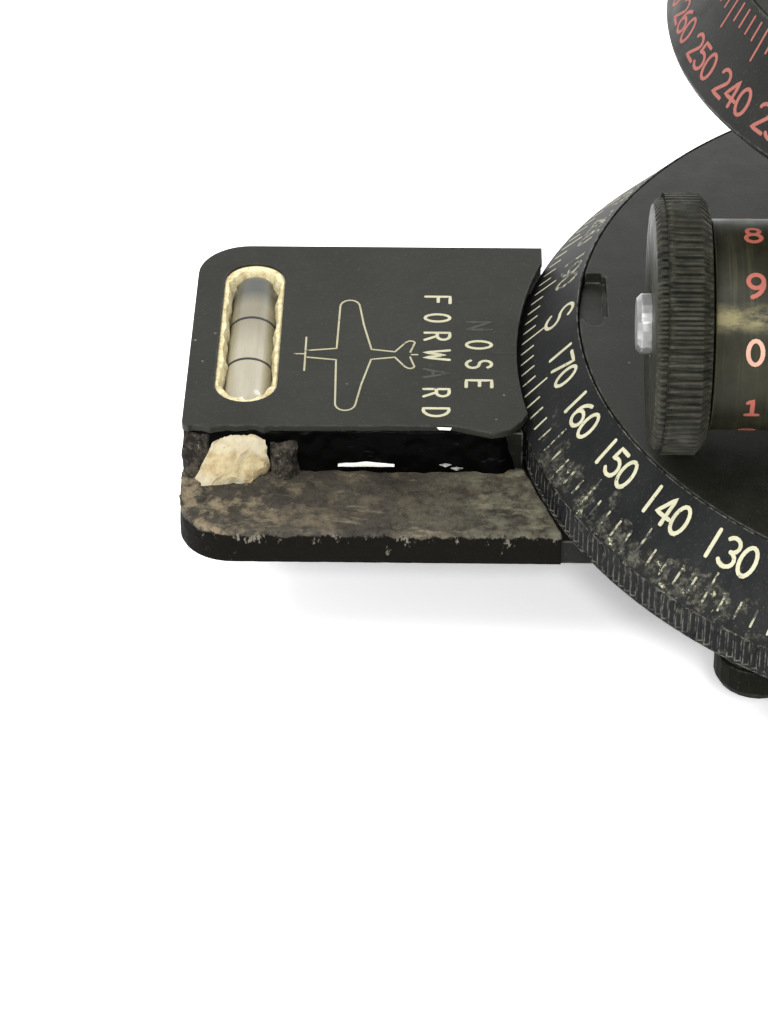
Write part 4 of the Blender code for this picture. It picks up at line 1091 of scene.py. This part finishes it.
def build_heading_plate():
    """The label plate with its broken front edge and level window."""
    inner = RING_RADIUS - 0.4
    back = PLATE_HIGH[1]
    left = PLATE_LOW[0]
    arc_start = 180.0 - math.degrees(math.acos(-PLATE_CORNER / inner))
    arc_end = 180.0 + math.degrees(math.asin(11.6 / inner))
    outline = [(PLATE_CORNER, back)] + bow(0, 0, inner, inner, arc_start, arc_end, 40)
    outline += [(-60.1, -13.2), (-61.4, -14.9), (-63.4, -15.5), (-65.4, -14.9), (-67.0, -14.35)]
    dice = random.Random(7)
    x = -67.8
    while x > -97.0:
        ragged = 0.10 if x > -88.0 else 0.45
        outline.append((x, -14.1 - 0.015 * (-67.8 - x) + ragged * dice.uniform(-1, 0.6)))
        x -= dice.uniform(0.5, 1.1)
    outline += bow(left + 0.9, -13.8, 0.9, 0.9, 260, 180, 3)
    outline += bow(left + 6.0, back - 6.0, 6.0, 6.0, 180, 90, 10)
    radius = (WINDOW[1] - WINDOW[0]) / 2
    middle = (WINDOW[1] + WINDOW[0]) / 2
    window = bow(middle, WINDOW[3] - radius, radius, radius, 0, 180, 14)
    window += bow(middle, WINDOW[2] + radius, radius, radius, 180, 360, 14)
    look = (LABEL_BLACK, "base", "black_paint", ["heading_plate"])
    made = slab("heading_plate_label", [outline, window], PLATE_LOW[2], PLATE_TOP, *look)
    step = made.modifiers.new("edges", "BEVEL")
    step.width = 0.16 * MM
    step.segments = 2
    step.limit_method = "ANGLE"
    step.angle_limit = math.radians(60.0)


def on_plate(spin=0.0):
    """Lay a drawing flat on a label plate; x and y are the frame's own at the heading lug."""
    turn = Matrix.Rotation(math.radians(spin), 3, "Z")

    def lay(u, v, h):
        return tuple(turn @ Vector((u, v, PLATE_TOP + h)))

    return lay


def aeroplane_strokes():
    """The outline of a small monoplane seen from above, its nose at -X."""
    wing = [(-84.5, 0.68), (-81.2, 1.15)] + bow(-79.9, 9.75, 1.15, 1.35, 185, 10, 8)
    wing += [(-78.2, 6.0), (-77.2, 1.0)]
    tail = [(-74.5, 0.55), (-73.3, 2.45)] + bow(-72.75, 2.35, 0.50, 0.42, 110, -30, 5) + [(-72.75, 0.5)]
    half = wing + tail
    strokes = [half, [(x, -y) for x, y in half]]
    strokes.append([(-84.75, 3.35), (-84.75, -3.35)])
    strokes.append([(-86.0, 0.0), (-84.9, 0.0)])
    strokes.append([(-72.6, 0.0), (-71.9, 0.0)])
    return [[(x, y - 0.35) for x, y in stroke] for stroke in strokes]


def build_plate_marks():
    """The aeroplane outline, two columns of letters and the lubber lines."""
    lay = on_plate()
    role = ("base", "black_paint")
    engrave("aeroplane_outline", aeroplane_strokes(), 0.26, lay, OUTLINE_FILL, *role)

    def column(word, x, y, pitch):
        strokes = word_strokes(word, 3.0, pitch, 1.0)
        return [[(x + v, y - u) for u, v in stroke] for stroke in strokes]

    clear = column("FORW", -69.7, 5.33, 3.75) + column("RD", -69.7, -9.7, 3.75)
    clear += column("OSE", -64.9, -2.15, 3.9)
    engrave("plate_letters", clear, 0.46, lay, IVORY_FILL, *role)
    faded = column("A", -69.7, -4.05, 3.75) + column("N", -64.9, 5.65, 3.9)
    engrave("plate_letters_faded", faded, 0.46, lay, GHOST_FILL, *role)
    engrave("lubber_line", [[(-63.3, 0.05), (-60.75, 0.05)]], 0.22, lay, DARK_LINE, *role)
    engrave("side_lubber_line", [[(-66.0, 0.0), (-60.9, 0.0)]], 0.3, on_plate(-90.0), OUTLINE_FILL, *role)


def build_vial(lug, spin):
    """A level vial: glass tube, two gauge lines and the cracked seal round it."""
    turn = Matrix.Rotation(math.radians(spin), 4, "Z")
    x, y, z = [(low + high) / 2 for low, high in zip(VIAL_LOW, VIAL_HIGH)]
    radius = (VIAL_HIGH[0] - VIAL_LOW[0]) / 2
    half = (VIAL_HIGH[1] - VIAL_LOW[1]) / 2

    shape = bmesh.new()
    add_tube(shape, radius, half)
    lie = turn @ Matrix.Translation((x, y, z)) @ Matrix.Rotation(math.radians(-90.0), 4, "X")
    bmesh.ops.transform(shape, matrix=lie, verts=shape.verts)
    axis = "Y" if spin == 0.0 else "X"
    glass = vial_glass(lug + "_vial_glass", axis, y + half - 7.0, y + half - 4.2)
    piece(lug + "_vial_tube", shape, glass, "base", "vial_glass", [lug + "_vial"])

    shape = bmesh.new()
    for shift in (-4.2, 4.2):
        add_gauge_line(shape, radius, shift)
    bmesh.ops.transform(shape, matrix=turn @ Matrix.Translation((x, y - 1.0, z)), verts=shape.verts)
    piece(lug + "_vial_lines", shape, DARK_LINE, "base", "vial_glass")

    shape = bmesh.new()
    add_seal(shape)
    middle = ((WINDOW[0] + WINDOW[1]) / 2, (WINDOW[3] + WINDOW[2]) / 2, PLATE_TOP - 0.15)
    bmesh.ops.transform(shape, matrix=turn @ Matrix.Translation(middle), verts=shape.verts)
    piece(lug + "_vial_seal", shape, SEAL, "base", "plaster")


def add_tube(shape, radius, half):
    """Add a vial's tube along Z with domed ends."""
    dome = 2.2
    around = [math.tau * j / 48 for j in range(48)]
    rows = []
    for k in range(-9, 10):
        if abs(k) > 3:
            t = math.radians(90.0 * (abs(k) - 3) / 6.0)
            h = half - dome + dome * math.sin(t)
            r = max(0.02, radius * math.cos(t) ** 0.6)
        else:
            h, r = (half - dome) * abs(k) / 3, radius
        rows.append([(r * math.cos(a), r * math.sin(a), math.copysign(h, k)) for a in around])
    grid = add_grid(shape, rows, False)
    shape.faces.new(grid[0])
    shape.faces.new(grid[-1])


def add_gauge_line(shape, radius, shift):
    """Add one line across the top of a vial, bowed to a side at its ends."""
    section = [(-0.20, -0.05), (-0.17, 0.05), (0.17, 0.05), (0.20, -0.05)]
    rows = []
    for degrees in range(-72, 73, 6):
        a = math.radians(degrees)
        out = Vector((math.sin(a), math.cos(a)))
        y = shift + 0.9 - 0.9 * math.cos(a)
        rows.append([(out.x * (radius + up), y + across, out.y * (radius + up)) for across, up in section])
    line = add_grid(shape, rows, False)
    shape.faces.new(line[0])
    shape.faces.new(line[-1])


def add_seal(shape):
    """Add the uneven bead of sealing compound round a window, centred on the origin."""
    reach = (WINDOW[1] - WINDOW[0]) / 2
    straight = (WINDOW[3] - WINDOW[2]) / 2 - reach
    path = bow(0, straight, reach, reach, 0, 180, 26)
    path += [(-reach, straight * (1 - 2 * k / 40)) for k in range(1, 40)]
    path += bow(0, -straight, reach, reach, 180, 360, 26)
    path += [(reach, straight * (2 * k / 40 - 1)) for k in range(1, 40)]
    rows = []
    for px, py in path:
        inward = Vector((px, py - max(-straight, min(straight, py)))).normalized()
        wide = 1.0 + 0.45 * rough(px, py, 0, 1.6, 3.0) + 0.25 * rough(px, py, 0, 0.7, 5.0)
        if abs(py) > straight:
            wide += 0.6
        crest = 0.25 + 0.5 * rough(px, py, 1, 1.1, 8.0)
        section = [(-0.05, -3.0), (-0.05, -0.2), (0.2 * wide, 0.05 * crest)]
        section += [(0.55 * wide, -0.25 + 0.3 * crest), (0.85 * wide, -1.2), (0.8 * wide, -3.0)]
        rows.append([(px - inward.x * a, py - inward.y * a, h) for a, h in section])
    add_grid(shape, rows)


# --- CAD nodes that keep their shape -----------------------------------------------------------------

CAD_PAINTS = {
    "black_paint": BLACK,
    "ring_paint": HOUR_BLACK,
    "olive_metal": OLIVE,
    "drum_metal": DRUM,
    "steel": STEEL,
    "brass": BRASS,
    "plaster": PLASTER,
    "vial_glass": SEAL,
    "screen": SCREEN,
}
# The casting, the foot and the levelling knobs take the blacks darkened as painted shade.
NODE_PAINTS = {
    "base_casting": CASTING_BLACK_PAINTED_SHADE,
    "mount_foot": UNDERSIDE_BLACK_PAINTED_SHADE,
    "levelling_knob_left": UNDERSIDE_BLACK_PAINTED_SHADE,
    "levelling_knob_right": UNDERSIDE_BLACK_PAINTED_SHADE,
}


def dress_cad_nodes():
    """Give every CAD node its node-built material."""
    slots = {row["node"]: row["material_slot"] for row in frame["record"]["subparts"]}
    for name, made in frame["nodes"].items():
        paint = NODE_PAINTS.get(name) or CAD_PAINTS[slots[name]]
        made.data.materials.clear()
        made.data.materials.append(paint)


# --- Stage -------------------------------------------------------------------------------------------


def build_stage():
    """A pale floor, soft studio light and the camera."""
    mesh = bpy.data.meshes.new("floor")
    size = 4.0
    square = [(-size, -size, 0), (size, -size, 0), (size, size, 0), (-size, size, 0)]
    mesh.from_pydata(square, [], [(0, 1, 2, 3)])
    floor = bpy.data.objects.new("floor", mesh)
    bpy.context.scene.collection.objects.link(floor)
    paint = Look("floor_white")
    paint.ground(paint.noise(80.0), (0.93, 0.93, 0.93), (0.95, 0.95, 0.95))
    mesh.materials.append(paint.done(0.8, 0.0, 0.2))
    paint.feed(paint.shader.inputs["Emission Color"], (1.0, 1.0, 1.0))
    paint.feed(paint.shader.inputs["Emission Strength"], 0.35)
    floor.location.z = -0.0002

    world = bpy.data.worlds.new("studio")
    world.use_nodes = True
    background = world.node_tree.nodes["Background"]
    background.inputs["Color"].default_value = (1.0, 1.0, 1.0, 1.0)
    background.inputs["Strength"].default_value = 0.95
    bpy.context.scene.world = world

    def softbox(name, place, target, size, power):
        light = bpy.data.lights.new(name, "AREA")
        light.shape = "DISK"
        light.size = size
        light.energy = power
        lamp = bpy.data.objects.new(name, light)
        bpy.context.scene.collection.objects.link(lamp)
        lamp.location = place
        lamp.rotation_euler = (Vector(target) - Vector(place)).to_track_quat("-Z", "Y").to_euler()

    softbox("key", (-0.5, -0.35, 0.9), (0, 0, 0.05), 0.5, 9.0)
    softbox("camera_side", (-0.02, -0.62, 0.50), (-0.03, 0, 0.05), 0.10, 3.0)
    softbox("rim", (0.6, 0.6, 0.6), (0, 0, 0.05), 0.6, 6.0)

    view = bpy.data.cameras.new("camera")
    view.sensor_width = 36.0
    view.lens = 123.04
    camera = bpy.data.objects.new("camera", view)
    bpy.context.scene.collection.objects.link(camera)
    elevation, yaw, roll = math.radians(37.09), math.radians(-1.366), math.radians(0.293)
    turn = Matrix.Rotation(-yaw, 4, "Z") @ Matrix.Rotation(math.pi / 2 - elevation, 4, "X")
    turn = turn @ Matrix.Rotation(-roll, 4, "Z")
    camera.matrix_world = Matrix.Translation(Vector((-67.98, -330.13, 252.43)) * MM) @ turn
    view.clip_start = 0.01
    bpy.context.scene.camera = camera
    bpy.context.scene.view_settings.view_transform = "Standard"


dress_cad_nodes()
build_bearing_ring()
build_deck()
build_latitude_drive()
build_hour_circle()
build_latitude_scale()
build_declination_scale()
build_heading_plate()
build_plate_marks()
build_ledge()
build_wall()
build_broken_corner()
build_vial("heading", 0.0)
build_vial("side", -90.0)
build_stage()
